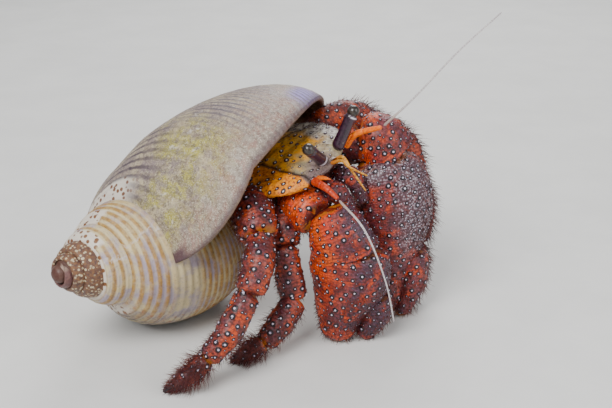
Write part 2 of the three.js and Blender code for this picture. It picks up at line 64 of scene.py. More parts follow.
# Each limb: the way it is wide, and its plates' path, widths, depths and own way wide, if any.
LIMBS = {
    "claw_right": dict(wide=(0.95, -0.3, 0.1), plates=dict(
        merus=([(-6, 3.4, 48.6), (-1, -3.5, 49.6), (4.2, -9.4, 47)],
               [6, 7.8, 7.6], [7, 7.8, 7.2]),
        carpus=([(7.4, -7.6, 50.6), (11.4, -9.4, 42), (15, -9.6, 32.6)],
                [7.4, 10.8, 13], [7.4, 9.6, 9.4]),
        palm=([(15.4, -9, 37), (15.6, -9.4, 24.6), (12.4, -10, 11.6), (11.6, -10.6, -0.8)],
              [13.2, 15, 12.2, 8, 5.2], [9.4, 10.6, 9.4, 6.6, 4.4]),
        finger=([(24, -9.6, 17), (25, -9.6, 9), (20.6, -9.4, -0.2)],
                [6.4, 6.4, 4.8, 2.8], [6, 6.2, 5, 3.2]))),
    "claw_left": dict(wide=(0.9, 0.35, -0.2), plates=dict(
        merus=([(12, 20.3, 61.8), (16.5, 19.6, 65), (21, 19.2, 67.3)],
               [6.4, 7.4, 7.6], [6.4, 7.4, 7.6], (-0.2, 0.9, 0.1)),
        carpus=([(19.5, 19.2, 67.6), (26, 18.4, 66.6), (31.5, 18.4, 60.4)],
                [8, 10.6, 11], [8, 11, 11], (0.1, 0.9, 0.1)),
        palm=([(28, 16.5, 63), (32.4, 13.5, 45), (33, 11, 27), (28.5, 6, -1.2)],
              [11, 15, 15.5, 12.4, 7, 4.6], [10, 11.6, 11.6, 9.6, 6.6, 4]),
        finger=([(39.6, 12.8, 26), (40.2, 11, 13), (35.6, 7.6, -0.2)],
                [6.2, 6.8, 5.2, 2.8], [6.4, 6.6, 5, 3]))),
    "leg_right_front": dict(wide=(0.28, 0.68, -0.64), plates=dict(
        merus=([(-8.3, 0.8, 47), (-8, -5, 42), (-6.8, -9.8, 36.2)],
               [5, 5.4, 5], [5.4, 5.8, 5.2]),
        carpus=([(-7.2, -9.6, 37.4), (-6, -13.4, 27), (-3.9, -15, 18)],
                [4.2, 5, 4.8], [4.4, 5, 4.8]),
        propodus=([(-3.6, -15.4, 18.8), (-8.8, -21.4, 12.6), (-15, -26.4, 6.4)],
                  [4.4, 5, 3.8], [4.4, 4.8, 3.6]),
        dactyl=([(-14.4, -26.2, 7.2), (-21, -27.6, 3.6), (-26.6, -27.8, -0.2)],
                [3.4, 3, 1.1], [3.4, 3, 1.1]))),
    "leg_right_rear": dict(wide=(0.52, 0.23, -0.78), plates=dict(
        merus=([(-19.6, -1, 51.4), (-18.4, -11.5, 49.4), (-15.6, -19.8, 44.2)],
               [6.4, 7.6, 6.4], [6.6, 7.6, 6.6]),
        carpus=([(-15.3, -19.4, 45.4), (-16, -29, 38.5), (-19.2, -34.2, 29.6)],
                [4.6, 5.4, 5], [4.6, 5.4, 5]),
        propodus=([(-18.8, -33.8, 30.6), (-25.4, -41, 20), (-33, -45, 10.8)],
                  [4.4, 4.6, 3.7], [4.4, 4.6, 3.6]),
        dactyl=([(-32.4, -44.8, 11.6), (-39.5, -46.8, 6), (-47.6, -46.6, -0.2)],
                [3.5, 3.1, 1.2], [3.5, 3.1, 1.2]))),
    "leg_left_front": dict(wide=(-0.3, 0.8, -0.5), plates=dict(
        merus=([(2.3, 32, 66.4), (16, 38.6, 69.6), (29.5, 41, 63)], [5.4, 6.6, 6], [6, 7, 6.2]),
        carpus=([(28.6, 40.8, 64), (38, 40.4, 58), (43, 37.6, 47)],
                [4.8, 5.6, 5.2], [5, 6, 5.4]),
        propodus=([(42.6, 37.8, 48), (45.6, 31.6, 34.6), (43.8, 25.6, 22)],
                  [4.6, 5, 4], [4.8, 5.2, 4.2]),
        dactyl=([(44, 26, 23), (42.4, 21.4, 11), (38, 17.6, -0.6)],
                [3.8, 3.4, 1.2], [3.8, 3.4, 1.2]))),
    "leg_left_rear": dict(wide=(-0.74, 0.53, -0.28), plates=dict(
        merus=([(-2.4, 41, 59.6), (7, 53, 58), (17.6, 63, 49)],
               [5.2, 6.2, 5.4], [5.6, 6.4, 5.6]),
        carpus=([(17, 62.4, 50), (26.5, 69.6, 43), (33.6, 73, 31.6)],
                [4.4, 5.2, 4.6], [4.6, 5.4, 4.8]),
        propodus=([(33.2, 72.8, 32.6), (39.4, 72, 21), (41, 68, 10)],
                  [4.2, 4.4, 3.4], [4.4, 4.6, 3.6]),
        dactyl=([(40.8, 68.4, 11), (40, 61.6, 5), (36, 55, -0.2)],
                [3.2, 2.8, 1.1], [3.2, 2.8, 1.1]))),
}

EYES = dict(right=dict(base=(6, -1.7, 66), tip=(0.9, -14, 74.4)),
            left=dict(base=(10.7, 3.5, 68.3), tip=(16.6, 5, 82)))
STALK_RADII = [2.4, 2.1, 2.2]
CORNEA_RADIUS = 2.15

ANTENNULES = dict(
    right=[(8.8, -3, 65.7), (12.5, -7.4, 68.1), (14.7, -11.9, 67.5), (20.7, -20.6, 67.4)],
    left=[(9.9, -0.7, 66), (12.8, -6.3, 69), (15.8, -11.1, 65.8), (20.2, -20.6, 62)])
ANTENNULE_WIDTH = [0.9, 0.8, 0.7, 0.5, 0.35]
ANTENNAE = dict(
    right=dict(base=[(2.8, -8.1, 60.9), (6.8, -14.6, 60.8), (10.9, -17.9, 58.1)],
               flagellum=[(11.3, -18.3, 57.7), (19.7, -27.5, 50.4), (26.6, -31.8, 34.3),
                          (30, -33.6, 19.3)]),
    left=dict(base=[(14, 7.8, 68.4), (17.8, 5.6, 73.6), (26.6, 0.8, 77.7)],
              flagellum=[(27.2, 0.8, 78.2), (37.7, 0.9, 88.6), (52.7, 3.1, 104.6),
                         (66.7, 5.9, 117.1)]))
PEDUNCLE_WIDTH = [2, 1.6, 1]
FLAGELLUM_WIDTH = [0.6, 0.45, 0.35, 0.3]
LIMB_ROUND = 0.11         # share of a limb plate's length that each rounded end takes

# ---------------------------------------------------------------- vectors and smooth curves

WAVES = 7                 # sine waves in one wobble


def unit(vector):
    vector = np.asarray(vector, float)
    return vector / np.maximum(np.linalg.norm(vector, axis=-1, keepdims=True), 1e-9)


def along(values, s):
    """A smooth value along a list of numbers or points, for s from 0 to 1."""
    values = np.asarray(values, float)
    single = values.ndim == 1
    if single:
        values = values[:, None]
    ends = 2 * values[[0, -1]] - values[[1, -2]]
    padded = np.vstack((ends[:1], values, ends[1:]))
    count = len(values) - 1
    place = np.asarray(s, float) * count
    at = np.clip(np.floor(place).astype(int), 0, count - 1)
    f = (place - at)[..., None]
    p, q, r, t = (padded[at + k] for k in range(4))
    value = q + 0.5 * f * (r - p + f * (2 * p - 5 * q + 4 * r - t + f * (3 * (q - r) + t - p)))
    return value[..., 0] if single else value


def ease(x):
    x = np.clip(x, 0, 1)
    return x * x * (3 - 2 * x)


def wobble(points, size, seed):
    """Smooth pseudo-random lumps between about -1 and 1, about size mm across."""
    rng = np.random.default_rng(seed)
    total = 0
    for _ in range(WAVES):
        wave = unit(rng.normal(size=3)) * TURN / size * rng.uniform(0.5, 1.3)
        total = total + np.sin(points @ wave + rng.uniform(0, TURN))
    return total / (WAVES / 2)


def lumps(seed, height):
    """A relief of broad lumps with finer ones on them, for a limb's plate."""
    def relief(points, s, a):
        return height * wobble(points, 6.0, seed) + 0.35 * height * wobble(points, 2.2, seed + 1)
    return relief


CRAB_FORWARD = unit(FORWARD)
CRAB_RIGHT = unit(np.cross(CRAB_FORWARD, DORSAL_HINT))
CRAB_DORSAL = np.cross(CRAB_RIGHT, CRAB_FORWARD)


def on_back(forward, right, up):
    """A point in the crab's own axes, from the middle of its back."""
    return BACK_CENTRE + forward * CRAB_FORWARD + right * CRAB_RIGHT + up * CRAB_DORSAL


# ---------------------------------------------------------------- meshes


def quads(rows, columns, closed=True):
    """Faces of a grid of points, each row joined to the next, and round on itself if closed."""
    i, j = np.meshgrid(np.arange(rows - 1), np.arange(columns if closed else columns - 1),
                       indexing="ij")
    k = (j + 1) % columns
    return np.stack((i * columns + j, i * columns + k, (i + 1) * columns + k,
                     (i + 1) * columns + j), -1).reshape(-1, 4).tolist()


class Build:
    """Gathers points, faces and values per point, and turns them into one object."""

    def __init__(self):
        self.points, self.faces, self.values, self.spots, self.count = [], [], {}, [], 0

    def add(self, points, faces, uv=None, **values):
        self.points.append(points)
        self.faces.extend(tuple(i + self.count for i in face) for face in faces)
        self.spots.append(np.zeros((len(points), 2)) if uv is None else uv)
        for name in set(self.values) | set(values):
            column = self.values.setdefault(name, [np.zeros(self.count)])
            column.append(np.broadcast_to(values.get(name, 0.0), (len(points),)).astype(float))
        self.count += len(points)

    def grid(self, points, closed=True, **values):
        """Rows of points, and for each value a number, or one that fits the grid."""
        shape = points.shape[:2]
        flat = {name: np.broadcast_to(value, shape).reshape(-1) for name, value in values.items()}
        self.add(points.reshape(-1, 3), quads(*shape, closed), **flat)

    def piece(self, name, material, slot, *nodes, bake_map=False):
        mesh = bpy.data.meshes.new(name)
        points = (np.concatenate(self.points) + TABLE_ORIGIN) * MM
        points[:, 2] = np.maximum(points[:, 2], 0)      # what stands on the floor is flat there
        mesh.from_pydata(points.tolist(), [], self.faces)
        for label, columns in self.values.items():
            layer = mesh.attributes.new(label, "FLOAT", "POINT")
            layer.data.foreach_set("value", np.concatenate(columns).astype(np.float32))
        if bake_map:
            layer = mesh.uv_layers.new(name="OFBake")
            corners = np.empty(len(mesh.loops), np.int32)
            mesh.loops.foreach_get("vertex_index", corners)
            layer.data.foreach_set("uv", np.concatenate(self.spots)[corners].reshape(-1))
        mesh.materials.append(material)
        mesh.update()
        mesh.validate()
        mesh.polygons.foreach_set("use_smooth", [True] * len(mesh.polygons))
        thing = bpy.data.objects.new(name, mesh)
        bpy.context.scene.collection.objects.link(thing)
        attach(thing, "root")
        if nodes:
            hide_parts(*nodes)


class Plate:
    """Elliptical rings along a path, as the solids have. s runs along it, a round it, 0 to 1.

    Each end is rounded over the share round of the length, and relief adds small heights.
    """

    STEP = 0.004          # for slopes, in s and in a

    def __init__(self, path, width, depth, wide, round=0.16, relief=None):
        self.path, self.width, self.depth, self.round = path, width, depth, round
        self.wide, self.relief = np.asarray(wide, float), relief
        outward = self.bare(0.5, 0.1) - along(path, 0.5)
        self.sign = -1.0 if np.dot(self.slopes(0.5, 0.1), outward) < 0 else 1.0

    def axes(self, s):
        """The ways along, across and over the plate."""
        ahead, behind = np.minimum(s + 0.01, 1), np.maximum(s - 0.01, 0)
        tangent = unit(along(self.path, ahead) - along(self.path, behind))
        wide = self.wide if self.wide.ndim == 1 else unit(along(self.wide, s))
        across = unit(wide - (tangent * wide).sum(-1, keepdims=True) * tangent)
        return tangent, across, np.cross(tangent, across)

    def bare(self, s, a):
        """Points of the plate without its relief."""
        s, a = np.broadcast_arrays(np.asarray(s, float), np.asarray(a, float))
        s = np.clip(s, 0, 1)
        near = np.clip(np.minimum(s, 1 - s) / self.round, 0, 1)
        cap = np.sqrt(1 - (1 - near) ** 2)
        _, across, over = self.axes(s)
        width = (along(self.width, s) * cap * np.cos(TURN * a))[..., None]
        depth = (along(self.depth, s) * cap * np.sin(TURN * a))[..., None]
        return along(self.path, s) + across * width + over * depth

    def slopes(self, s, a):
        ahead = self.bare(s + self.STEP, a) - self.bare(s - self.STEP, a)
        aside = self.bare(s, a + self.STEP) - self.bare(s, a - self.STEP)
        return np.cross(aside, ahead)

    def normal(self, s, a):
        s, a = np.broadcast_arrays(np.asarray(s, float), np.asarray(a, float))
        return unit(self.slopes(np.clip(s, 0.006, 0.994), a)) * self.sign

    def surface(self, s, a, lift=0.0):
        """Points of the plate with its relief, lifted off it, and their normals."""
        points, normals = self.bare(s, a), self.normal(s, a)
        if self.relief is not None:
            lift = lift + self.relief(points, s, a)
        return points + normals * np.asarray(lift)[..., None], normals

    def length(self):
        knots = along(self.path, np.linspace(0, 1, 30))
        return float(np.linalg.norm(np.diff(knots, axis=0), axis=1).sum())


END_REACH = 0.09          # share of a plate's length over which its value end fades


def add_plate(build, plate, rings=48, sides=44, marks=lambda s, a, p: {}):
    """The plate's own surface, as a closed grid whose ends shrink to a point.

    marks gives the values that its material reads, at places s, a and their points.
    """
    s = (1 - np.cos(np.pi * np.linspace(0, 1, rings + 1))) / 2
    s, a = np.meshgrid(s, np.arange(sides) / sides, indexing="ij")
    points, _ = plate.surface(s, a)
    build.grid(points, end=1 - ease(np.minimum(s, 1 - s) / END_REACH), row=s * plate.length(),
               **marks(s, a, points))


def segments(path, width, depth, count, overlap=0.03):
    """The plates of a limb that is one path in count short segments: path, width and depth."""
    for k in range(count):
        s = np.clip(np.linspace(k / count - overlap, (k + 1) / count + overlap, 5), 0, 1)
        yield along(path, s), along(width, s), along(depth, s)


def scatter(plate, gap, keep=None):
    """Places (s, a) on a plate, each at least gap mm from the next, where keep lets them be."""
    area = plate.length() * (np.mean(plate.width) + np.mean(plate.depth)) * math.pi
    tries = int(area / gap ** 2 * 5)
    s = RNG.uniform(0.05, 0.95, tries)
    a = RNG.uniform(0, 1, tries)
    points = plate.bare(s, a)
    size = np.linalg.norm(points - along(plate.path, s), axis=-1)
    chance = RNG.uniform(0, 1, tries) < size / size.max()
    if keep is not None:
        chance &= RNG.uniform(0, 1, tries) < keep(points, plate.normal(s, a))
    chosen = []
    for i in np.flatnonzero(chance):
        if not chosen or np.min(np.linalg.norm(points[chosen] - points[i], axis=1)) > gap:
            chosen.append(i)
    return s[chosen], a[chosen]


KNOB_RINGS = np.array((0.15, 0.26, 0.34, 0.46, 0.72, 1.0))
KNOB_SECTORS = 10
KNOB_CORE = 0.34          # share of a knob's radius that its white dome takes
KNOB_LIFT = 0.07          # how high its foot lies, in mm
KNOB_SINK = 0.09          # and how far its edge goes down from there
KNOB_STEP = 0.01


def add_knobs(build, plate, marks, gap, radius, spread, height=0.8, every=1):
    """White domes with a dark foot that lies on the plate and fades into its own marks.

    radius is that of the white dome in mm, times a number drawn from spread. With every=2 each
    second knob is left out.
    """
    s, a = (places[::every] for places in scatter(plate, gap))
    radii = radius * RNG.uniform(*spread, len(s))
    faces = [(0, 1 + k, 1 + (k + 1) % KNOB_SECTORS) for k in range(KNOB_SECTORS)]
    faces += [(p + 1, t + 1, r + 1, q + 1) for p, q, r, t in quads(len(KNOB_RINGS), KNOB_SECTORS)]
    turnings = TURN * np.arange(KNOB_SECTORS) / KNOB_SECTORS
    t = np.append(0, np.repeat(KNOB_RINGS, KNOB_SECTORS))
    around = np.append(0, np.tile(turnings, len(KNOB_RINGS)))

    def stretch(ds, da):
        step = plate.bare(s0 + ds, a0 + da) - plate.bare(s0 - ds, a0 - da)
        return max(np.linalg.norm(step) / (2 * KNOB_STEP), 1)
    for s0, a0, core in zip(s, a, radii):
        reach = core / KNOB_CORE * t
        ds = reach * np.cos(around) / stretch(KNOB_STEP, 0)
        da = reach * np.sin(around) / stretch(0, KNOB_STEP)
        dome = np.sqrt(np.clip(1 - (t / KNOB_CORE) ** 2, 0, 1)) * core * height
        lift = KNOB_LIFT + dome - KNOB_SINK * ease((t - 0.7) / 0.3)
        points, _ = plate.surface(np.clip(s0 + ds, 0.004, 0.996), a0 + da, lift)
        build.add(points, faces, spot=1 - t, row=(s0 + ds) * plate.length(),
                  **marks(s0, a0, points[0]))


HAIR_SIDES = 3
HAIR_RINGS = 3
HAIR_TAPER = 0.75         # how much thinner a hair is near its end
HAIR_SPREAD = 0.5         # how far the hairs of a tuft part
HAIR_DROP = 0.25          # how far a hair bends the way it leans, as a share of its length
HAIR_AROUND = np.tile(TURN * np.arange(HAIR_SIDES) / HAIR_SIDES, HAIR_RINGS)[:, None]
HAIR_PLACES = np.repeat(np.arange(HAIR_RINGS) / HAIR_RINGS, HAIR_SIDES)[:, None]
HAIR_TIP = HAIR_SIDES * HAIR_RINGS
HAIR_FACES = quads(HAIR_RINGS, HAIR_SIDES) + [
    (HAIR_TIP - HAIR_SIDES + k, HAIR_TIP - HAIR_SIDES + (k + 1) % HAIR_SIDES, HAIR_TIP)
    for k in range(HAIR_SIDES)]


def add_hairs(build, plate, s, a, length, width, lean, per_tuft=3, corner=0.02, room=0.96):
    """Tufts of thin curved spikes. lean is the way they lie.

    corner and room say where the plate lies on the bake map.
    """
    roots, normals = plate.surface(s, a)
    spots = np.asarray(corner) + np.asarray(room) * np.stack((a, s), -1)
    lengths, leans = np.broadcast_to(length, len(s)), np.broadcast_to(lean, (len(s), 3))
    f = HAIR_PLACES
    for root, normal, spot, length, lean in zip(roots, normals, spots, lengths, leans):
        tuft = RNG.uniform(0.6, 1.25)
        shade = RNG.uniform(0, 1)
        for _ in range(per_tuft):
            way = unit(normal + RNG.normal(size=3) * HAIR_SPREAD + lean)
            size = length * tuft * RNG.uniform(0.65, 1.1)
            side = unit(np.cross(way, (0.3, 0.5, 0.81)))
            ring = side * np.cos(HAIR_AROUND) + np.cross(way, side) * np.sin(HAIR_AROUND)
            drop = unit(lean + RNG.normal(size=3) * 0.25) * size * HAIR_DROP
            start = root - normal * 0.15 + RNG.normal(size=3) * width
            points = start + way * size * f + drop * f * f + ring * (width * (1 - HAIR_TAPER * f))
            points = np.vstack((points, start + way * size + drop))
            uv = spot + RNG.uniform(-0.0015, 0.0015, (len(points), 2))
            build.add(points, HAIR_FACES, uv=uv, tip=np.append(f, 1), shade=shade)


# ---------------------------------------------------------------- materials

ROW_GAP = 1.3             # between the rows of scales on the limbs, in mm

# Where the shell's markings change, as angles before the lip ("turn") or as shares of a section.
RIBS = 24                 # spiral ribs on one whole section
DOUBLED = (-3.4, -2.7)    # turns in which each rib parts into two
PALE_SECTION = 0.29       # middle of the band on the body whorl that has hardly any stripes
WIDE_STRIPES = (-8.7, -8.1)    # turns in which the stripes grow narrower
BEADS = (-14.4, -9.6)     # turns with a narrow spotted shoulder
SHOULDERS = ((-13.6, -12.2, 0.15), (-7.6, -6.6, 0.12))     # wide ones: from, to, and to section
GROWTH_LINES = (-5.68, -11.62)            # pale lines across the whorls
GROWTH_BEND = 0.9         # how far noise moves them, as a turn
LOW_DOTS = (-4.05, -3.7)  # turns where small brown spots follow the ribs
SPECKLED_FROM = -15.2
SMOOTH_FROM = -27.0
TIP_FROM = -30.9
NUCLEUS_FROM = -31.5
OLD = (-3.6, -3.0)        # turns in which the old whorls' clean look goes over into the last one's
ALGAE = (-0.4, -0.16)     # turns where they are thick
OLD_ALGAE = (-0.9, -1.4)  # turns in which some come back
LIP_STREAKS = (-0.3, -0.08)
LIP = (-0.16, -0.08)      # turns in which the lip's own colours come in
CREST = (0.4, 0.52)       # part of the lip's section that is lilac


def rgb(code):
    """A linear colour from its six-digit screen code."""
    channels = [int(code[i:i + 2], 16) / 255 for i in (0, 2, 4)]
    linear = [c / 12.92 if c < 0.04045 else ((c + 0.055) / 1.055) ** 2.4 for c in channels]
    return (*linear, 1.0)


def connect(tree, node, inputs):
    """Sets a node's inputs: numbers, vectors, screen codes of colours, or other nodes' results."""
    for label, value in inputs.items():
        if isinstance(value, Term):
            tree.links.new(value.socket, node.inputs[label])
        else:
            node.inputs[label].default_value = rgb(value) if isinstance(value, str) else value


def result(tree, kind, inputs, output=0, **settings):
    """Adds a node and gives its result."""
    node = tree.nodes.new(kind)
    for label, value in settings.items():
        setattr(node, label, value)
    connect(tree, node, inputs)
    return Term(tree, node.outputs[output])


class Term:
    """A number or colour that a material's nodes work out."""

    def __init__(self, tree, socket):
        self.tree, self.socket = tree, socket

    def math(self, operation, *others):
        return result(self.tree, "ShaderNodeMath", dict(enumerate((self, *others))),
                      operation=operation)

    def __mul__(self, other):
        return self.math("MULTIPLY", other)

    def at_least(self, other):
        return self.math("MAXIMUM", other)

    def scaled(self, factor, offset):
        return self.math("MULTIPLY_ADD", factor, offset)

    def distance(self, place):
        return self.math("SUBTRACT", place).math("ABSOLUTE")

    def waves(self, count):
        """A sine with count waves for each 1."""
        return self.math("MULTIPLY", TURN * count).math("SINE")

    def span(self, low, high, to_low=0.0, to_high=1.0):
        """This taken from low..high to to_low..to_high, smoothly and held at the ends."""
        return result(self.tree, "ShaderNodeMapRange",
                      {"Value": self, "From Min": low, "From Max": high, "To Min": to_low,
                       "To Max": to_high}, "Result", interpolation_type="SMOOTHSTEP")

    def before(self, edge, soft, most=1):
        """most where this is under edge, fading to 0 at soft over it."""
        return self.span(edge, edge + soft, most, 0)

    def band(self, low, high, soft):
        """1 where this is from low to high, fading to 0 at soft outside them."""
        return self.span(low - soft, low) * self.before(high, soft)

    def mix(self, first, second):
        """first where this is 0 and second where it is 1."""
        return result(self.tree, "ShaderNodeMix", {0: self, 6: first, 7: second}, 2,
                      data_type="RGBA")

    def pick(self, low, high, first, second):
        """first where this is under low and second where it is over high."""
        return self.span(low, high).mix(first, second)

    def under(self, *layers):
        """This colour under layers of (share, colour), the lowest one first."""
        color = self
        for share, layer in layers:
            color = share.mix(color, layer)
        return color


class Shader:
    """A node material: values and noises to begin with, and the surface to end with."""

    def __init__(self, name, specular, coat=0.0, coat_roughness=0.03):
        self.material = bpy.data.materials.new(name)
        self.material.use_nodes = True
        self.tree = self.material.node_tree
        self.surface = self.tree.nodes["Principled BSDF"]
        connect(self.tree, self.surface, {"Specular IOR Level": specular, "Coat Weight": coat,
                                          "Coat Roughness": coat_roughness})
        self.place = self.stretched(result(self.tree, "ShaderNodeTexCoord", {}, "Object"),
                                    (1 / MM,) * 3)

    def stretched(self, place, factors):
        return result(self.tree, "ShaderNodeVectorMath", {0: place, 1: factors},
                      operation="MULTIPLY")

    def value(self, name):
        return result(self.tree, "ShaderNodeAttribute", {}, "Fac", attribute_name=name)

    def noise(self, size, detail=4, roughness=0.6, distortion=0.0, stretch=None):
        """Noise from 0 to 1 whose lumps are about size mm across."""
        place = self.stretched(self.place, stretch) if stretch else self.place
        return result(self.tree, "ShaderNodeTexNoise",
                      {"Vector": place, "Scale": 1 / size, "Detail": detail,
                       "Roughness": roughness, "Distortion": distortion}, "Fac")

    def cells(self, size, randomness=1.0):
        """How far each place is from the middle of its cell, about size mm across."""
        return result(self.tree, "ShaderNodeTexVoronoi",
                      {"Vector": self.place, "Scale": 1 / size, "Randomness": randomness},
                      "Distance")

    def finish(self, color, roughness, *bumps):
        """Joins colour, roughness and bumps, each (height, distance in mm, strength)."""
        inputs = {"Base Color": color, "Roughness": roughness}
        for height, distance, strength in bumps:
            bump = {"Height": height, "Distance": distance * MM, "Strength": strength}
            if "Normal" in inputs:
                bump["Normal"] = inputs["Normal"]
            inputs["Normal"] = result(self.tree, "ShaderNodeBump", bump)
        connect(self.tree, self.surface, inputs)
        return self.material


def spotted(shader, color, fine, ring, core):
    """Adds the knobs' dark rings and white tops to a colour, and says where there is no knob."""
    spot = shader.value("spot")
    color = color.under((spot.span(0.12, 0.34), ring),
                        (spot.span(0.69, 0.77), fine.pick(0.3, 0.7, core, "a99dbd")))
    return color, spot.span(0.2, 0.5, 1, 0.1)


def plate_material(name, bright, deep):
    """Orange to dark red armour with purple patches, fine scales and dark-ringed white knobs."""
    shader = Shader(name, 0.4, 0.2, 0.3)
    value = shader.value
    broad = shader.noise(6.5)
    fine = shader.noise(1.0, 4, 0.65, 0.6)
    patch = shader.noise(5.2, 3, 0.6, 0.4).span(0.34, 0.54)
    scales = shader.cells(0.8)
    ridges = fine.scaled(1.6, value("row")).waves(1 / ROW_GAP)
    color, off_spot = spotted(shader, broad.pick(0.4, 0.6, bright, deep).under(
        (value("glow"), broad.pick(0.4, 0.62, "ee5c02", "cc3602")),
        # painted light: a brighter orange where a plate turns away from its purple side
        (patch * value("purple"), fine.pick(0.36, 0.64, "260c1e", "5a3c52")),
        (value("frost") * fine.span(0.3, 0.5, 0.5, 1), scales.pick(0.25, 0.5, "a59ca4", "5c434e")),
        (ridges.span(0.1, 0.9, 0, 0.5), "4c0c04"),
        (scales.span(0.4, 0.8, 0, 0.55), "2c0808"),
        (value("end") * 0.75, patch.pick(0.8, 0.95, "1f0814", "c47c1e")),
        (value("tip"), "1c0a12")), fine, "14060f", "dcd5df")
    return shader.finish(color, fine.span(0.3, 0.75, 0.36, 0.6), (scales * off_spot, 0.3, 0.5),
                         (ridges * off_spot, 0.1, 0.35), (fine * off_spot, 0.45, 0.6))


class ShellShader(Shader):
    """A tun shell: cream with ochre stripes, older whorls speckled, the last half under algae."""

    def __init__(self):
        super().__init__("tun_shell", 0.45, 0.15, 0.3)
        self.turn, self.section, self.inside = map(self.value, ("turn", "section", "inside"))
        self.broad = self.noise(9, 4, 0.6, 0.3)
        self.patches = self.noise(4.5, 4, 0.65, 0.5)
        self.fine = self.noise(1.2, 5, 0.7)
        self.grain = self.noise(0.45, 3)
        wavy = self.noise(3, 3).scaled(0.008, self.section)
        self.ribs, self.late_ribs, self.wide_ribs = map(wavy.waves, (RIBS, RIBS * 2, RIBS / 2))
        self.shoulder = self.cells(2.1).before(0.3, 0.12).mix("d6cdc0", "6e3f1c")

    def older(self):
        """Cream with ochre stripes, a white shoulder with brown spots, and a speckled spire."""
        turn, section, broad, fine, patches = (self.turn, self.section, self.broad, self.fine,
                                               self.patches)
        faded = section.distance(PALE_SECTION).span(0.05, 0.11).at_least(0.1)
        stripes = turn.span(*WIDE_STRIPES).mix(self.wide_ribs.span(-0.6, 0.6),
                                               self.ribs.span(-0.8, 0.7))
        color = (stripes * (patches.span(0.3, 0.6, 0.45, 0.95) * faded)).mix(
            broad.pick(0.42, 0.62, "c8b88e", "a396a2"), fine.pick(0.35, 0.65, "aa8030", "8a6222"))
        color = color.under((fine.span(0.52, 0.68, 0, 0.4), "7a6552"),
                            (turn.band(*BEADS, 0.3) * section.before(0.02, 0.02, 0.9),
                             self.shoulder))
        for first, last, reach in SHOULDERS:
            share = turn.band(first, last, 0.15) * section.before(reach - 0.02, 0.02, 0.9)
            color = share.mix(color, self.shoulder)
        for place in GROWTH_LINES:
            away = broad.scaled(GROWTH_BEND, turn).distance(place + GROWTH_BEND / 2)
            share = away.before(0.01, 0.04, 0.8) * fine.span(0.4, 0.6, 0.3, 0.9)
            color = share.mix(color, "cdc4c0")
        low_dots = (turn.band(*LOW_DOTS, 0.1) * self.ribs.span(0.0, 0.6)
                    * self.cells(2.4).before(0.35, 0.15) * 0.8)
        dots = self.cells(1.2).before(0.28, 0.14) * patches.span(0.35, 0.55, 0.35, 0.95)
        speckled = dots.mix(fine.pick(0.35, 0.65, "4e3430", "7e5634"), "c6b695")
        return color.under(
            (low_dots, "96541c"),
            (broad.scaled(2.0, turn).before(SPECKLED_FROM, 1.2), speckled),
            (turn.before(SMOOTH_FROM, 0.6), fine.pick(0.3, 0.7, "553436", "755048")),
            (turn.before(TIP_FROM, 0.5), "a98f80"),
            (turn.before(NUCLEUS_FROM, 0.5), "4a2418"))

    def last(self):
        """The last half whorl: cream and grey, purple ribs high up with painted shade in the grooves
        between them, green algae lower.
        """
        turn, section, fine, patches = self.turn, self.section, self.fine, self.patches
        algae = turn.span(ALGAE[0] - 0.22, ALGAE[0]) * turn.before(ALGAE[1], 0.11)
        algae = (algae * section.before(0.16, 0.11)).at_least(turn.span(*OLD_ALGAE, 0, 0.7))
        algae = algae * self.noise(7, 4, 0.6, 0.3).span(0.42, 0.58)
        blots = self.noise(5.5, 4, 0.65, 0.6)
        high = turn.span(-0.32, -0.62, 0, 0.8).at_least(section.span(0.16, 0.3))
        # painted shade: dark purple in the grooves between the doubled ribs
        grooves = (self.late_ribs.span(0.5, -0.8) * high.span(0, 1, 0.25, 1)
                   * patches.span(0.66, 0.42, 0.5, 1))
        return self.broad.pick(0.44, 0.58, "8b7b70", "b6a684").under(
            (algae * 0.9, "a39a34"),
            (blots.span(0.54, 0.62, 0, 0.65), "7c6a6c"),
            (blots.span(0.4, 0.32, 0, 0.7), "cdc6bc"),
            (patches.span(0.52, 0.62, 0, 0.6), "7c6856"),
            (fine.span(0.48, 0.62, 0, 0.7), "5a4f3c"),
            (self.grain.span(0.52, 0.64, 0, 0.6), "cfc6a8"),
            (high.span(0, 1, 0, 0.35), "7b6a74"),
            (grooves, "3a2c3a"),
            (section.before(0.04, 0.02, 0.9) * turn.before(-0.66, 0.16), self.shoulder))

    def made(self):
        """The whole shell: rosy streaks and a lilac crest at the lip, and a tan lining."""
        turn, section, fine = self.turn, self.section, self.fine
        old = self.broad.scaled(1.2, turn).span(*OLD)
        streaks = self.noise(3.2, 4, 0.6, 0.8, stretch=(1, 1, 0.35))
        streaky = streaks.pick(0.42, 0.6, "988c7e", "937062").under(
            (fine.span(0.47, 0.62, 0, 0.6), "6a5648"),
            (self.grain.span(0.52, 0.64, 0, 0.6), "d2c8b8"))
        crest = section.span(CREST[0], CREST[0] + 0.08) * section.before(CREST[1], 0.12)
        color = old.mix(self.older(), self.last()).under(
            (turn.span(*LIP_STREAKS, 0, 0.8), streaky),
            (section.before(0.012, 0.018, 0.9) * turn.span(-0.14, LIP[1]), "4a2c34"),
            (crest * turn.span(*LIP), self.late_ribs.pick(-0.6, 0.6, "40305f", "8474b2")),
            (turn.span(-0.05, 0) * 0.7, "4a333a"),
            (self.inside, self.broad.pick(0.3, 0.7, "b89b74", "8f6a46")))
        return self.finish(color, fine.span(0.3, 0.7, 0.42, 0.68),
                           (self.late_ribs * turn.span(*DOUBLED), 0.25, 0.5),
                           (fine, 0.6, 0.6), (self.grain, 0.3, 0.5))


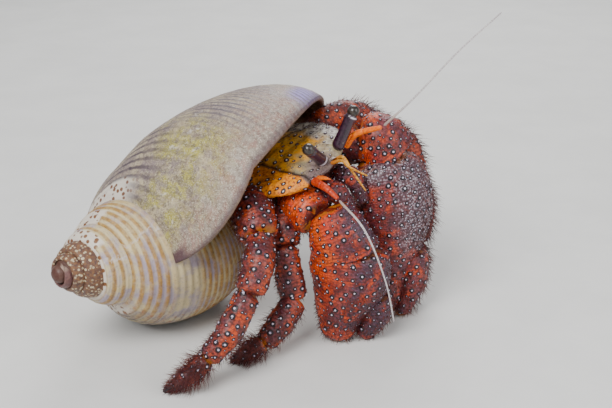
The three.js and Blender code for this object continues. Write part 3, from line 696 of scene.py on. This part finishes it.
def shield_material():
    """Mottled yellow and grey, with a glowing orange lobe, a dusky front, painted shade in its
    grooves and small ringed dots.
    """
    shader = Shader("shield_skin", 0.4, 0.15, 0.3)
    value = shader.value
    fine = shader.noise(0.9, 4, 0.65, 0.4)
    broad = shader.noise(3.2, 4, 0.65, 0.3)
    golden = fine.pick(0.35, 0.7, "f59a02", "d06002").under(
        (broad.span(0.46, 0.66, 0, 0.7), "9c5a08"))
    color, off_spot = spotted(shader, broad.pick(0.4, 0.6, "aa9c70", "8b7c62").under(
        (value("amber"), broad.pick(0.42, 0.62, "e89c0c", "c6963a")),
        (value("pale"), fine.pick(0.35, 0.65, "b3ab9e", "6e6462")),
        (value("dusk"), fine.pick(0.35, 0.65, "452636", "8a7078")),
        (value("gold"), golden),
        (fine.span(0.54, 0.68, 0, 0.75), "4c2a1c"),
        # painted shade in the shield's grooves
        (value("groove"), "2a1414")), fine, "2c1420", "e4dfd6")
    return shader.finish(color, fine.span(0.3, 0.7, 0.4, 0.62), (broad * off_spot, 0.8, 0.5),
                         (fine * off_spot, 0.4, 0.7))


def flesh_material():
    """Dark red-brown skin on the thorax, paler and rosier on the soft abdomen."""
    shader = Shader("body_flesh", 0.45, 0.25, 0.25)
    broad = shader.noise(4, 4, 0.6, 0.3)
    fine = shader.noise(0.9)
    hard, soft = (broad.pick(0.35, 0.65, *codes)
                  for codes in (("3c0f12", "6e2418"), ("7c4238", "ab7a60")))
    color = shader.value("soft").mix(hard, soft).under((fine.span(0.5, 0.7, 0, 0.5), "3a1420"))
    return shader.finish(color, fine.span(0.3, 0.7, 0.35, 0.55), (broad, 0.8, 0.4),
                         (fine, 0.3, 0.6))


def stalk_material():
    """Dark purple eyestalk with a thin white crescent."""
    shader = Shader("eyestalk_skin", 0.5, 0.4, 0.15)
    fine = shader.noise(0.8)
    color = fine.pick(0.3, 0.7, "1a0716", "340f28").under((shader.value("line"), "d9d2dc"))
    return shader.finish(color, fine.span(0.3, 0.7, 0.25, 0.4), (fine, 0.15, 0.4))


def cornea_material():
    """Black, with the eye's facets as a fine bump."""
    shader = Shader("cornea", 0.4, 0.4, 0.12)
    color = shader.noise(1.0, 3).pick(0.35, 0.65, "17120f", "3a3028")
    return shader.finish(color, 0.3, (shader.cells(0.09, 0.1), 0.012, 0.2))


def hair_material():
    """Bristles, dark at the root and redder at the tip, each tuft of another shade."""
    shader = Shader("bristle", 0.35)
    color = shader.value("tip").mix("1f0a12", "4c1c28")
    return shader.finish(color.under((shader.value("shade") * 0.5, "8a3a1e")), 0.5)


def spine_material():
    shader = Shader("spine_pale", 0.5)
    fine = shader.noise(0.8, 4, 0.6, 0.3)
    return shader.finish(fine.pick(0.3, 0.7, "8d7a72", "d9d0c8"),
                         fine.span(0.3, 0.7, 0.3825, 0.5175), (fine, 0.24, 0.5))


def feeler_material(name, first, second, ringed, rooted):
    """A mottled feeler of two colours, darker in rings and at its ends."""
    shader = Shader(name, 0.35, 0.1, 0.3)
    fine = shader.noise(0.9, 3)
    color = fine.pick(0.35, 0.65, first, second).under(
        (shader.value("ring") * 0.6, ringed), (shader.value("root") * 0.7, rooted),
        (shader.value("end") * 0.4, ringed))
    return shader.finish(color, 0.4, (fine, 0.1, 0.4))


def floor_material():
    shader = Shader("floor_paint", 0.3)
    color = shader.noise(40).pick(0.3, 0.7, "d6d5d2", "dcdbd8")
    return shader.finish(color, 0.75, (shader.noise(3, 3), 0.2, 0.1))


# ---------------------------------------------------------------- the shell

UP = unit(SHELL_AXIS)
SIDE = unit(np.cross((1, 0, 0), UP))
FRONT = unit(np.cross(UP, SIDE))
TIP_CONE = (1.7, 1.15)    # how much wider and lower the cone under the first whorl ends
TIP_NUCLEUS = 2.0         # radius of the dark first turn
TIP_SINK = 1.3            # how deep in the cone the wall of the spire begins
TIP_BLEND = 1.6           # and the turn in which it comes out
RIB_HEIGHT = 0.22
LATE_RIB_SHARE = 0.5      # the doubled ribs are half as high, as the photograph shows them soft
BODY_COUNT = 300          # points in a whole section
BODY_STEPS = 150
SPIRE_COUNT = 64
SPIRE_STEPS = 240
SPIRE_OVERLAP = 0.03      # how far the spire's wall goes on under the body whorl's, as a turn
RIM_STEPS = 6
RIM_BULGE = 0.02          # how far the lip's rounded edge stands out, as a turn
LINING_REACH = 2.6        # how far in from the lip the lining goes, as a turn
LINING_STEPS = 60
LIP_INSIDE = 0.6          # share of the lining's colour at the inner end of the lip's edge
BODY_START = -TURN - 2.4  # from here on a section is drawn whole, down to the foot
WHOLE = SEAM_STEPS + FOOT_STEPS
MEASURED_STEPS = 300      # at which a section's length is measured
PAST_SEAM = 0.3           # how far past the next seam a section of the spire goes, in steps
BASE_STEPS = np.linspace(0, 1, 13)[1:]
BASE_RISE = 7.0           # how far the wall draws up from the foot to the axis, in mm at the lip
COLUMELLA_SHORT = 4.5     # how far the columella ends above the last section's foot


def seam(turn):
    return np.array((SHELL["suture_radius"] * SHELL["radius_growth"] ** (turn / TURN),
                     -SHELL["suture_drop"] * SHELL["drop_growth"] ** (turn / TURN)))


def growth(turn):
    return SHELL["whorl_growth"] ** (turn / TURN)


def lip_share(turn):
    return float(ease(turn / SHELL["lip_reach"] + 1))


def whorl_arc(turn, steps):
    """Radius and height of one whorl's outer wall at steps 0 to WHOLE."""
    size = np.array((SHELL["whorl_radius"], SHELL["whorl_height"])) * growth(turn)
    p = seam(turn + SHELL["lip_skew_top"] * lip_share(turn)) / size
    q = seam(turn + TURN) / size
    chord = q - p
    length = np.hypot(*chord)
    height = math.sqrt(max(1 - (length / 2) ** 2, 1e-3))
    side = np.array((chord[1], -chord[0])) / length
    centre = min(((p + q) / 2 + sign * side * height for sign in (-1, 1)), key=lambda c: c[0])
    start, end = (math.atan2(*(point - centre)[::-1]) for point in (p, q))
    while end > start:
        end -= TURN
    first = start + (end - start) * steps / SEAM_STEPS
    second = end + (SHELL["base_angle"] - end) * (steps - SEAM_STEPS) / FOOT_STEPS
    angles = np.where(steps <= SEAM_STEPS, first, second)
    return np.stack((centre[0] + np.cos(angles), centre[1] + np.sin(angles)), -1) * size


def close_base(arc, turn):
    """Runs a whole section on from its foot to the axis, round the shell's narrow navel."""
    foot, way = arc[-1], unit(arc[-1] - arc[-6])
    bend = foot + way * foot[0] * 0.45
    end = np.array((0.3, foot[1] + BASE_RISE * growth(turn)))
    u = BASE_STEPS[:, None]
    return np.vstack((arc, foot * (1 - u) ** 2 + bend * 2 * u * (1 - u) + end * u ** 2))


def flared(arc, turn, f):
    """Widens a section towards the lip. f runs from 0 to 1 along it."""
    coarse = whorl_arc(turn, np.arange(WHOLE + 1.0))
    widest, level = coarse[:, 0].max(), coarse[:, 1].mean()
    swell = float(ease((turn - SHELL["swell_start"]) / SHELL["swell_reach"]))
    push = (np.sin(np.pi * FLARE_SPAN * f) * SHELL["flare"] * lip_share(turn)
            + np.sin(np.pi * f) * SHELL["swell"] * swell)
    return arc + np.stack(((arc[:, 0] - SHELL["flare_centre"] * widest) * push,
                           (arc[:, 1] - level) * push * SHELL["flare_drop"]), -1)


def rib_heights(turn, section):
    """Ribs that fade in on the spire, each parting into two on the last half whorl."""
    doubled = float(ease((turn - DOUBLED[0]) / (DOUBLED[1] - DOUBLED[0])))
    ribs = (np.sin(section * TURN * RIBS) * (1 - doubled)
            + np.sin(section * TURN * RIBS * 2) * doubled * LATE_RIB_SHARE)
    return ribs * (RIB_HEIGHT * float(ease((turn + 2.2 * TURN) / TURN)))


def shell_section(turn, count, inset=0.0, whole=True):
    """Points of the wall at one angle, and each one's share of the section's length.

    count of them run from the seam to the foot, or only to just past the next seam if not whole.
    A whole section goes on to the axis. inset moves the points into the wall.
    """
    fine = np.linspace(0, WHOLE, MEASURED_STEPS)
    run = np.linalg.norm(np.diff(whorl_arc(turn, fine), axis=0), axis=1)
    reached = np.concatenate(((0,), np.cumsum(run))) / run.sum()
    end = 1 if whole else np.interp(SEAM_STEPS + PAST_SEAM, fine, reached)
    section = np.linspace(0, end, count)
    steps = np.interp(section, reached, fine)
    f = steps / WHOLE
    arc = whorl_arc(turn, steps)
    if whole:
        arc = flared(arc, turn, f)
    run = unit(np.gradient(arc, axis=0))
    out = np.stack((-run[:, 1], run[:, 0]), -1)
    arc = arc + out * (rib_heights(turn, section) - inset)[:, None]
    skew = 0
    if whole:
        arc = close_base(arc, turn)
        f = np.concatenate((f, np.ones(len(BASE_STEPS))))
        section = np.concatenate((section, 1 + 0.1 * BASE_STEPS))
        top, foot = SHELL["lip_skew_top"], SHELL["lip_skew_foot"]
        skew = lip_share(turn) * (top + (foot - top) * f + SHELL["lip_hollow"] * 4 * f * (1 - f))
    ways = round_axis(np.broadcast_to(SHELL["lip_angle"] - turn - skew, len(arc)))
    return SHELL_APEX + ways * np.maximum(arc[:, :1], 0.05) + UP * arc[:, 1:], section


def round_axis(angles):
    """The ways out from the shell's axis at these angles."""
    return SIDE * np.cos(angles)[:, None] + FRONT * np.sin(angles)[:, None]


def turned(drops, radii):
    """Rings round the shell's axis, this far under its apex, with a radius for each point."""
    ways = round_axis(np.linspace(0, TURN, radii.shape[1], endpoint=False))
    return SHELL_APEX - UP * drops[:, None, None] + ways[None] * radii[..., None]


def add_wall(build, turns, count, insets=None, inside=0.0, whole=True):
    """A stretch of the shell's wall, one section for each turn."""
    insets = np.zeros(len(turns)) if insets is None else insets
    made = [shell_section(turn, count, inset, whole) for turn, inset in zip(turns, insets)]
    points, sections = (np.array(part) for part in zip(*made))
    build.grid(points, closed=False, turn=np.array(turns)[:, None], section=sections,
               inside=np.broadcast_to(inside, len(turns))[:, None])


def add_tip(build):
    """The round first whorl, on a cone that closes the spire under it."""
    round_end, sides = SHELL["tip_radius"], 48
    polar = np.linspace(0.01, math.pi / 2, 12)
    cone = np.linspace(0, 1, 6)[1:]
    radii = np.append(np.sin(polar) * round_end, round_end + TIP_CONE[0] * cone)
    drops = np.append((1 - np.cos(polar)) * round_end, round_end + TIP_CONE[1] * cone)
    drops += SHELL["tip_drop"] - round_end
    build.grid(turned(drops, np.tile(radii[:, None], sides)), section=0.2,
               turn=-SHELL["turns"] * TURN - (radii < TIP_NUCLEUS)[:, None])


def add_columella(build):
    """The twisted pillar in the shell's mouth, down to a rounded foot."""
    top, sides = COLUMELLA["drop"], 48
    foot = -whorl_arc(0, np.array([float(WHOLE)]))[0, 1] - COLUMELLA_SHORT
    drops = np.linspace(top, foot, 40)
    f = (drops - top) / (foot - top)
    radii = COLUMELLA["top"] + (COLUMELLA["foot"] - COLUMELLA["top"]) * f
    radii *= np.sqrt(np.clip((1 - f) / 0.08, 0, 1))
    around = np.linspace(0, TURN, sides, endpoint=False)
    fold = 1 + 0.08 * np.sin(around[None, :] - 5 * f[:, None])
    build.grid(turned(drops, radii[:, None] * fold), turn=-TURN, section=0.9, inside=0.7)


def make_shell(material):
    build = Build()
    add_wall(build, np.linspace(BODY_START, 0, BODY_STEPS), BODY_COUNT)
    spire = np.linspace(-SHELL["turns"] * TURN, BODY_START + SPIRE_OVERLAP, SPIRE_STEPS)
    sunk = TIP_SINK * (1 - ease((spire - spire[0]) / TIP_BLEND))
    add_wall(build, spire, SPIRE_COUNT, sunk, whole=False)
    add_tip(build)
    rim = np.linspace(0, math.pi, RIM_STEPS)
    add_wall(build, RIM_BULGE * np.sin(rim), BODY_COUNT, SHELL["wall"] * (1 - np.cos(rim)) / 2,
             np.linspace(0, LIP_INSIDE, RIM_STEPS))
    deep = np.linspace(0, -LINING_REACH, LINING_STEPS)
    add_wall(build, deep, BODY_COUNT, np.full(LINING_STEPS, SHELL["wall"]),
             LIP_INSIDE + (1 - LIP_INSIDE) * ease(-deep / 0.3))
    add_columella(build)
    build.piece("tun_shell", material, "shell", "shell")


# ---------------------------------------------------------------- the crab

# Each limb's purple share and the way it faces, the way its bristles are long and their length,
# the radius of its knobs' white tops and the least distance between them.
LOOKS = dict(
    claw_right=(1.0, (0.8, -0.2, 0.0), (0.5, -0.3, -0.8), 2.4, 0.36, 2.6),
    claw_left=(0.75, (0.7, -0.5, 0.2), (0.8, 0.3, -0.4), 3.4, 0.36, 2.6),
    leg_right_front=(0.55, (-0.5, -0.3, 0.5), (-0.3, -0.3, -0.6), 2.4, 0.38, 2.5),
    leg_right_rear=(0.55, (-0.5, -0.4, 0.5), (-0.6, -0.2, -0.5), 2.8, 0.4, 2.5),
    leg_left_front=(0.6, (0.5, 0.5, 0.3), (0.8, 0.5, 0.1), 5.0, 0.36, 2.7),
    leg_left_rear=(0.6, (0.2, 0.8, 0.3), (0.4, 0.8, 0.1), 4.0, 0.36, 2.7))
COAT = dict(gap=1.3, least=0.1)           # the limbs' bristles: distance, and share where sparse
FUZZ = dict(gap=0.72, least=0.8, hair=4.8)    # those of the last joint of each leg
LOW_FUZZ = 18             # height under which bristles are dense all round
LOW_PURPLE = 36           # height under which the claws turn purple
CLAW_SHADE_FADE = dict(claw_right=0.035)        # how fast the right claw turns purple to its right, as painted shade
PALM_MIDDLE = 10.0
# Plates with painted light, a brighter orange on their lit side: how much less of it than in full,
# and how fast that grows to the right.
LIT_PLATES = {("claw_right", "merus"): (0, 0), ("claw_right", "carpus"): (0.4, 0.07),
           ("claw_left", "carpus"): (0, 0)}


def limb_marks(limb, name, plate, purple, way):
    """Gives the marks of a limb plate: purple, with painted shade to the right on the right claw,
    painted light in a brighter orange, frosted grey, and its dark tip.
    """
    def marks(s, a, p):
        normal = plate.normal(s, a)
        across, facing = p[..., 0] - PALM_MIDDLE, 0.9 * (normal @ unit(way))
        low = ease((LOW_PURPLE - p[..., 2]) / LOW_PURPLE) * (0.45 if "claw" in limb else 0)
        # the purple that grows to the right on the right claw is painted shade
        made = dict(purple=purple * ease(0.35 + facing + low + CLAW_SHADE_FADE.get(limb, 0) * across))
        if (limb, name) in LIT_PLATES:
            cool, fade = LIT_PLATES[limb, name]
            # painted light: brighter orange where the plate faces away from the purple way, less to
            # the right
            made["glow"] = 1 - ease(cool + facing + fade * across)
        if (limb, name) == ("claw_left", "palm"):
            side = ease((normal[..., 0] - 0.05) / 0.3) * ease((0.75 - s) / 0.2)
            made["frost"] = np.maximum(side, ease((0.2 - s) / 0.1)) * ease(-2.4 * normal[..., 1])
        if name == "dactyl":
            made["tip"] = 0.35 + 0.65 * ease((s - 0.55) / 0.3)
        return made
    return marks


def add_limb_hairs(coat, plate, name, way, length, corner):
    """A limb plate's bristles: long on one side, and dense low down and on the last joint."""
    way, furry = unit(way), float(name == "propodus")
    fur = FUZZ if name == "dactyl" else COAT

    def low(points):
        return ease((LOW_FUZZ + 6 * furry - points[..., 2]) / 10)

    def keep(points, normals):
        return np.maximum(fur["least"], np.maximum(ease(normals @ way * 1.2), low(points)))
    s, a = scatter(plate, fur["gap"], keep)
    if name == "dactyl":
        length = FUZZ["hair"] * (1 - 0.65 * s ** 2)
    else:
        roots, normals = plate.surface(s, a)
        length = length * np.maximum(0.35 + 0.65 * ease(normals @ way * 1.3 + 0.1),
                                     0.85 * (low(roots) * (1 + 0.4 * furry)))
    add_hairs(coat, plate, s, a, length, 0.09, plate.axes(s)[0] * 0.7, corner=corner, room=0.47)


def make_limb(limb, material, hair):
    purple, purple_way, hair_way, hair_length, knob, gap = LOOKS[limb]
    slot = "claw_plate" if "claw" in limb else "leg_plate"
    coat = Build()
    for index, (name, shape) in enumerate(LIMBS[limb]["plates"].items()):
        path, width, depth, *wide = shape
        plate = Plate(path, width, depth, *(wide or [LIMBS[limb]["wide"]]), LIMB_ROUND,
                      lumps(sum(map(ord, limb + name)), 0.25))
        build, marks = Build(), limb_marks(limb, name, plate, purple, purple_way)
        add_plate(build, plate, marks=marks)
        add_knobs(build, plate, marks, gap, knob, (0.6, 1.4))
        add_knobs(build, plate, marks, gap * 0.7, knob, (0.3, 0.55), every=2)
        build.piece(f"{limb}_{name}_plate", material, slot, f"{limb}_{name}")
        quarter = np.array((index % 2, index // 2)) * 0.5
        add_limb_hairs(coat, plate, name, hair_way, hair_length, quarter + 0.01)
    coat.piece(f"{limb}_bristles", hair, slot, bake_map=True)


SHIELD = dict(path=[on_back(-21, 1, -2), on_back(0, 1.5, -3), on_back(18, 0.5, -4)],
              width=[15, 21, 20, 12.5], depth=[3.4, 4.2, 3.8, 2.6], round=0.2)
LOBE_EDGE = 11.6          # how far right of the back's middle the shield's hairy groove runs
NECK = -9                 # how far forward of the back's middle its cross groove runs


def on_shield(p):
    """How far forward and to the right of the back's middle points are."""
    return (p - BACK_CENTRE) @ CRAB_FORWARD, (p - BACK_CENTRE) @ CRAB_RIGHT


def groove(p):
    """1 in the shield's grooves, fading to 0 beside them."""
    forward, right = on_shield(p)
    side = np.exp(-((right - LOBE_EDGE - 0.5 * np.sin(forward / 3)) / 0.8) ** 2)
    neck = np.exp(-((forward - NECK - 0.025 * right ** 2) / 0.8) ** 2) * (right < LOBE_EDGE) * 0.7
    return np.maximum(side, neck)


def shield_relief(points, s, a):
    _, right = on_shield(points)
    lobe = ease((right - LOBE_EDGE) / 2)
    return (0.3 * wobble(points, 6.0, 3) + 0.16 * wobble(points, 2.2, 4)
            + 0.08 * wobble(points, 1.0, 5) + 0.25 * lobe - 0.45 * groove(points))


def shield_marks(s, a, p):
    """Where the shield is amber, ashen, dusky and, on its right lobe, golden."""
    forward, right = on_shield(p)
    return dict(amber=ease((-forward + 13) / 9 + 0.4 * wobble(p, 5, 6)) * ease((right + 13) / 8),
                pale=ease((-right - 5) / 8 + 0.35 * wobble(p, 5, 7)),
                dusk=ease((forward - 10) / 5 + 0.3 * wobble(p, 4, 8)) * ease((right + 6) / 8) * 0.75,
                gold=ease((right - LOBE_EDGE + 0.8 * wobble(p, 4, 9)) / 1.2))


def make_shield(material, hair):
    """The mottled shield, with bristles in its groove and along its left edge."""
    plate = Plate(SHIELD["path"], SHIELD["width"], SHIELD["depth"], CRAB_RIGHT, SHIELD["round"],
                  shield_relief)
    build, coat = Build(), Build()
    # the groove value gives the painted shade in the shield's grooves
    add_plate(build, plate, 150, 200,
              lambda s, a, p: dict(shield_marks(s, a, p), groove=groove(p)))
    add_knobs(build, plate, shield_marks, 2.3, 0.34, (0.5, 1.3), 0.6)
    build.piece("shield_skin", material, "shield", "shield")

    def in_groove(p, n):
        return ease((groove(p) - 0.4) / 0.3) * (n @ CRAB_DORSAL > 0)

    def fringe(p, n):
        forward, right = on_shield(p)
        return ease((-right - 17) / 2) * (n @ CRAB_DORSAL > -0.2) * (forward > -18)
    for gap, keep, length, lean in (
            (0.75, in_groove, 1.3, CRAB_FORWARD * 0.3 + CRAB_RIGHT * 0.6),
            (0.8, fringe, 2.0, CRAB_DORSAL * 0.8 - CRAB_RIGHT * 0.2)):
        add_hairs(coat, plate, *scatter(plate, gap, keep), length, 0.07, lean)
    coat.piece("shield_bristles", hair, "shield", bake_map=True)


THORAX = [on_back(13, 0, -13), on_back(-4, 0, -17), on_back(-22, 0, -18.5)]
ABDOMEN_TURNS = (-0.6, -1.2, -1.8, -2.3)
BODY = dict(width=[9, 17, 17, 18, 21, 19, 11], depth=[7, 11.5, 12, 12.5, 12, 10, 7], round=0.12)
FOLDS = 26                # rings on the whole body, seen on its soft part


def whorl_middle(turn):
    """The middle of the room inside the body whorl."""
    ring = whorl_arc(turn, np.arange(WHOLE + 1.0))
    angle = SHELL["lip_angle"] - turn
    out = SIDE * math.cos(angle) + FRONT * math.sin(angle)
    return SHELL_APEX + 0.62 * ring[:, 0].max() * out + UP * ring[:, 1].mean()


def body_relief(points, s, a):
    soft = ease((s - 0.3) / 0.1)
    rings = np.sin(TURN * (s * FOLDS + 0.5 * wobble(points, 12, 21)))
    return 0.35 * wobble(points, 5, 22) + 0.12 * wobble(points, 1.8, 23) + soft * 0.45 * rings


def make_body(material):
    """One skin from the mouth back over the thorax and round the soft abdomen in the shell."""
    path = THORAX + [whorl_middle(turn) for turn in ABDOMEN_TURNS]
    wide = [CRAB_RIGHT] * len(THORAX) + [UP * np.sign(UP @ CRAB_RIGHT)] * len(ABDOMEN_TURNS)
    plate = Plate(path, BODY["width"], BODY["depth"], wide, BODY["round"], body_relief)
    build = Build()
    add_plate(build, plate, 300, 120, lambda s, a, p: dict(soft=ease((s - 0.25) / 0.15)))
    build.piece("body_skin", material, "flesh", "thorax", "abdomen")


# Where each eyestalk has its white crescent: how far along, how thick, and the way it faces.
CRESCENTS = dict(right=(0.16, 0.04, (0.8, -0.3, -0.6)), left=(0.875, 0.017, (0.9, -0.6, -0.2)))
CORNEA_SPAN = (0.86, 1.16)                # where the cornea begins and ends, along its stalk


def make_eyes(stalk, cornea):
    for side, eye in EYES.items():
        base, tip = np.array(eye["base"], float), np.array(eye["tip"], float)
        plate = Plate([base, (base + tip) / 2, tip], STALK_RADII, STALK_RADII, CRAB_RIGHT)
        at, thick, way = CRESCENTS[side]

        def crescent(s, a, p):
            facing = ease((plate.normal(s, a) @ unit(way) - 0.35) / 0.2)
            return dict(line=facing * ease(1.5 - np.abs(s - at) / thick))
        build = Build()
        add_plate(build, plate, 60, 48, crescent)
        build.piece(f"eyestalk_{side}_skin", stalk, "eyestalk", f"eyestalk_{side}")
        ball = Plate([base + (tip - base) * place for place in CORNEA_SPAN], [CORNEA_RADIUS] * 2,
                     [CORNEA_RADIUS] * 2, CRAB_RIGHT, 0.5)
        build = Build()
        add_plate(build, ball, 30, 32)
        build.piece(f"cornea_{side}", cornea, "cornea", f"eye_{side}")


# Small spines and scales between the eyes and the feelers: from, to and width at the root.
SPINES = dict(
    eye_scale_left=((11.6, 3.2, 68.4), (13.2, 2.0, 71.6), 0.9),
    eye_scale_right=((8.6, -1.2, 66.2), (10.4, -5.2, 68.6), 0.9),
    feeler_scale_left=((13.4, 6.4, 68.6), (16.2, 3.6, 74.2), 1.3),
    feeler_scale_right=((3.6, -7.2, 61.6), (8.6, -13.2, 63.4), 1.3))
SPINE_WIDTH = np.array((1, 0.7, 0.15))
SPINE_DEPTH = np.array((0.6, 0.45, 0.12))


def make_spines(pale_skin, orange_skin, hair):
    for name, (root, tip, width) in SPINES.items():
        root, tip = np.array(root), np.array(tip)
        plate = Plate([root, (root + tip) / 2 + CRAB_DORSAL * 0.3, tip], width * SPINE_WIDTH,
                      width * SPINE_DEPTH, CRAB_RIGHT, 0.12, lumps(41, 0.06))
        build, coat = Build(), Build()
        add_plate(build, plate, 30, 20)
        build.piece(name, orange_skin if "feeler" in name else pale_skin, "feeler")
        add_hairs(coat, plate, *scatter(plate, 0.5), 1.0, 0.05, unit(tip - root) * 0.8, per_tuft=2)
        coat.piece(f"{name}_bristles", hair, "feeler", bake_map=True)


MAXILLIPED = dict(width=[3.4, 4, 3.4, 2.2], depth=[3, 3.6, 3, 1.8], segments=3)


def mouth_marks(s, a, p):
    return dict(purple=0.9)


def make_mouthparts(material, hair):
    """The third maxillipeds: three knobbed, bristly segments each."""
    for side, sign in (("right", 1), ("left", -1)):
        path = [on_back(12, 4.5 * sign, -12), on_back(19, 4.5 * sign, -14),
                on_back(21, 3.6 * sign, -24)]
        build, coat = Build(), Build()
        for k, shape in enumerate(segments(path, *MAXILLIPED.values())):
            plate = Plate(*shape, CRAB_RIGHT, 0.2, lumps(50 + k, 0.2))
            add_plate(build, plate, 36, 32, mouth_marks)
            add_knobs(build, plate, mouth_marks, 1.9, 0.3, (0.6, 1.3))
            add_hairs(coat, plate, *scatter(plate, 0.9), 1.6, 0.06, -CRAB_DORSAL * 0.5,
                      corner=(0.02 + 0.3 * k, 0.02), room=(0.28, 0.9))
        build.piece(f"maxilliped_{side}_skin", material, "leg_plate", f"maxilliped_{side}")
        coat.piece(f"maxilliped_{side}_bristles", hair, "leg_plate", bake_map=True)


FEELER_SLIM = 0.78        # the feelers' skins against their solids


def make_feelers(orange_skin, red_skin, yellow_skin, pale_skin):
    """Ringed antennules and antennae, and the antennae's peduncles in three segments."""
    for side in ("right", "left"):
        antenna = ANTENNAE[side]
        peduncle = red_skin if side == "right" else orange_skin
        for node, path, width, mesh, rounded, material, slot, bands in (
                ("antennule", ANTENNULES[side], ANTENNULE_WIDTH, (60, 10), 0.04, yellow_skin,
                 "feeler", 16),
                ("antenna_base", antenna["base"], PEDUNCLE_WIDTH, (40, 20), 0.16, peduncle,
                 "feeler", 0),
                ("antenna", antenna["flagellum"], FLAGELLUM_WIDTH, (240, 10), 0.02, pale_skin,
                 "flagellum", 60)):
            build = Build()
            slim = [FEELER_SLIM * size for size in width]
            for part in [(path, slim, slim)] if bands else segments(path, slim, slim, 3):
                plate = Plate(*part, CRAB_RIGHT, rounded)
                add_plate(build, plate, *mesh, lambda s, a, p: dict(
                    ring=(np.sin(TURN * bands * s) > 0.6) * 1.0,
                    root=(1 - ease(s / 0.3)) * (bands > 0)))
            build.piece(f"{node}_{side}_skin", material, slot, f"{node}_{side}")


# ---------------------------------------------------------------- floor, light and camera

CAMERA_PLACE = (0, -340.5, 186.6)
CAMERA_AIM = (0, 0, 49)
LENS = 60
SENSOR_WIDTH = 36
FLOOR_SIZE = 6            # this and the lamps' places and sizes are in metres
LAMP_AIM = (0, 0, 0.05)
LAMPS = dict(key=((-0.35, -0.6, 0.75), 0.5, 12), fill=((0.7, -0.35, 0.45), 0.6, 4),
             rim=((0.1, 0.7, 0.6), 0.5, 5))    # place, size, power in watts
SKY = dict(Color="dfe3e8", Strength=0.55)


def to_metres(point):
    return Vector(((np.array(point, float) + TABLE_ORIGIN) * MM).tolist())


def facing(place, aim):
    return (Vector(aim) - Vector(place)).to_track_quat("-Z", "Y").to_euler()


def make_stage():
    bpy.ops.mesh.primitive_plane_add(size=FLOOR_SIZE, location=(0, 0, 0))
    floor = bpy.context.object
    floor.name = "studio_floor"
    floor.data.materials.append(floor_material())
    world = bpy.data.worlds.new("studio")
    bpy.context.scene.world = world
    world.use_nodes = True
    connect(world.node_tree, world.node_tree.nodes["Background"], SKY)
    for name, (place, size, power) in LAMPS.items():
        light = bpy.data.lights.new(name, "AREA")
        light.size = size
        light.energy = power
        lamp = bpy.data.objects.new(name, light)
        bpy.context.scene.collection.objects.link(lamp)
        lamp.location = place
        lamp.rotation_euler = facing(place, LAMP_AIM)


def make_camera():
    camera = bpy.data.objects.new("camera", bpy.data.cameras.new("camera"))
    bpy.context.scene.collection.objects.link(camera)
    camera.data.lens = LENS
    camera.data.sensor_width = SENSOR_WIDTH
    camera.data.clip_start = 0.01
    camera.location = to_metres(CAMERA_PLACE)
    camera.rotation_euler = facing(camera.location, to_metres(CAMERA_AIM))
    bpy.context.scene.camera = camera


make_camera()
make_stage()
make_shell(ShellShader().made())
BRISTLE = hair_material()
CLAW = plate_material("claw_armour", "d44604", "741704")
LEG = plate_material("leg_armour", "c44404", "601506")
for limb in LIMBS:
    make_limb(limb, CLAW if "claw" in limb else LEG, BRISTLE)
make_shield(shield_material(), BRISTLE)
make_body(flesh_material())
make_eyes(stalk_material(), cornea_material())
ORANGE = feeler_material("feeler_orange", "f27a02", "e05c00", "a83c06", "c84a08")
make_spines(spine_material(), ORANGE, BRISTLE)
make_mouthparts(CLAW, BRISTLE)
make_feelers(ORANGE, feeler_material("feeler_red", "a0240e", "c84410", "5c120a", "8c1c0c"),
             feeler_material("feeler_yellow", "dba03c", "c07a20", "8a4a12", "c25a10"),
             feeler_material("flagellum_pale", "cfc8c4", "b7aeb0", "8f8488", "8e6a4c"))
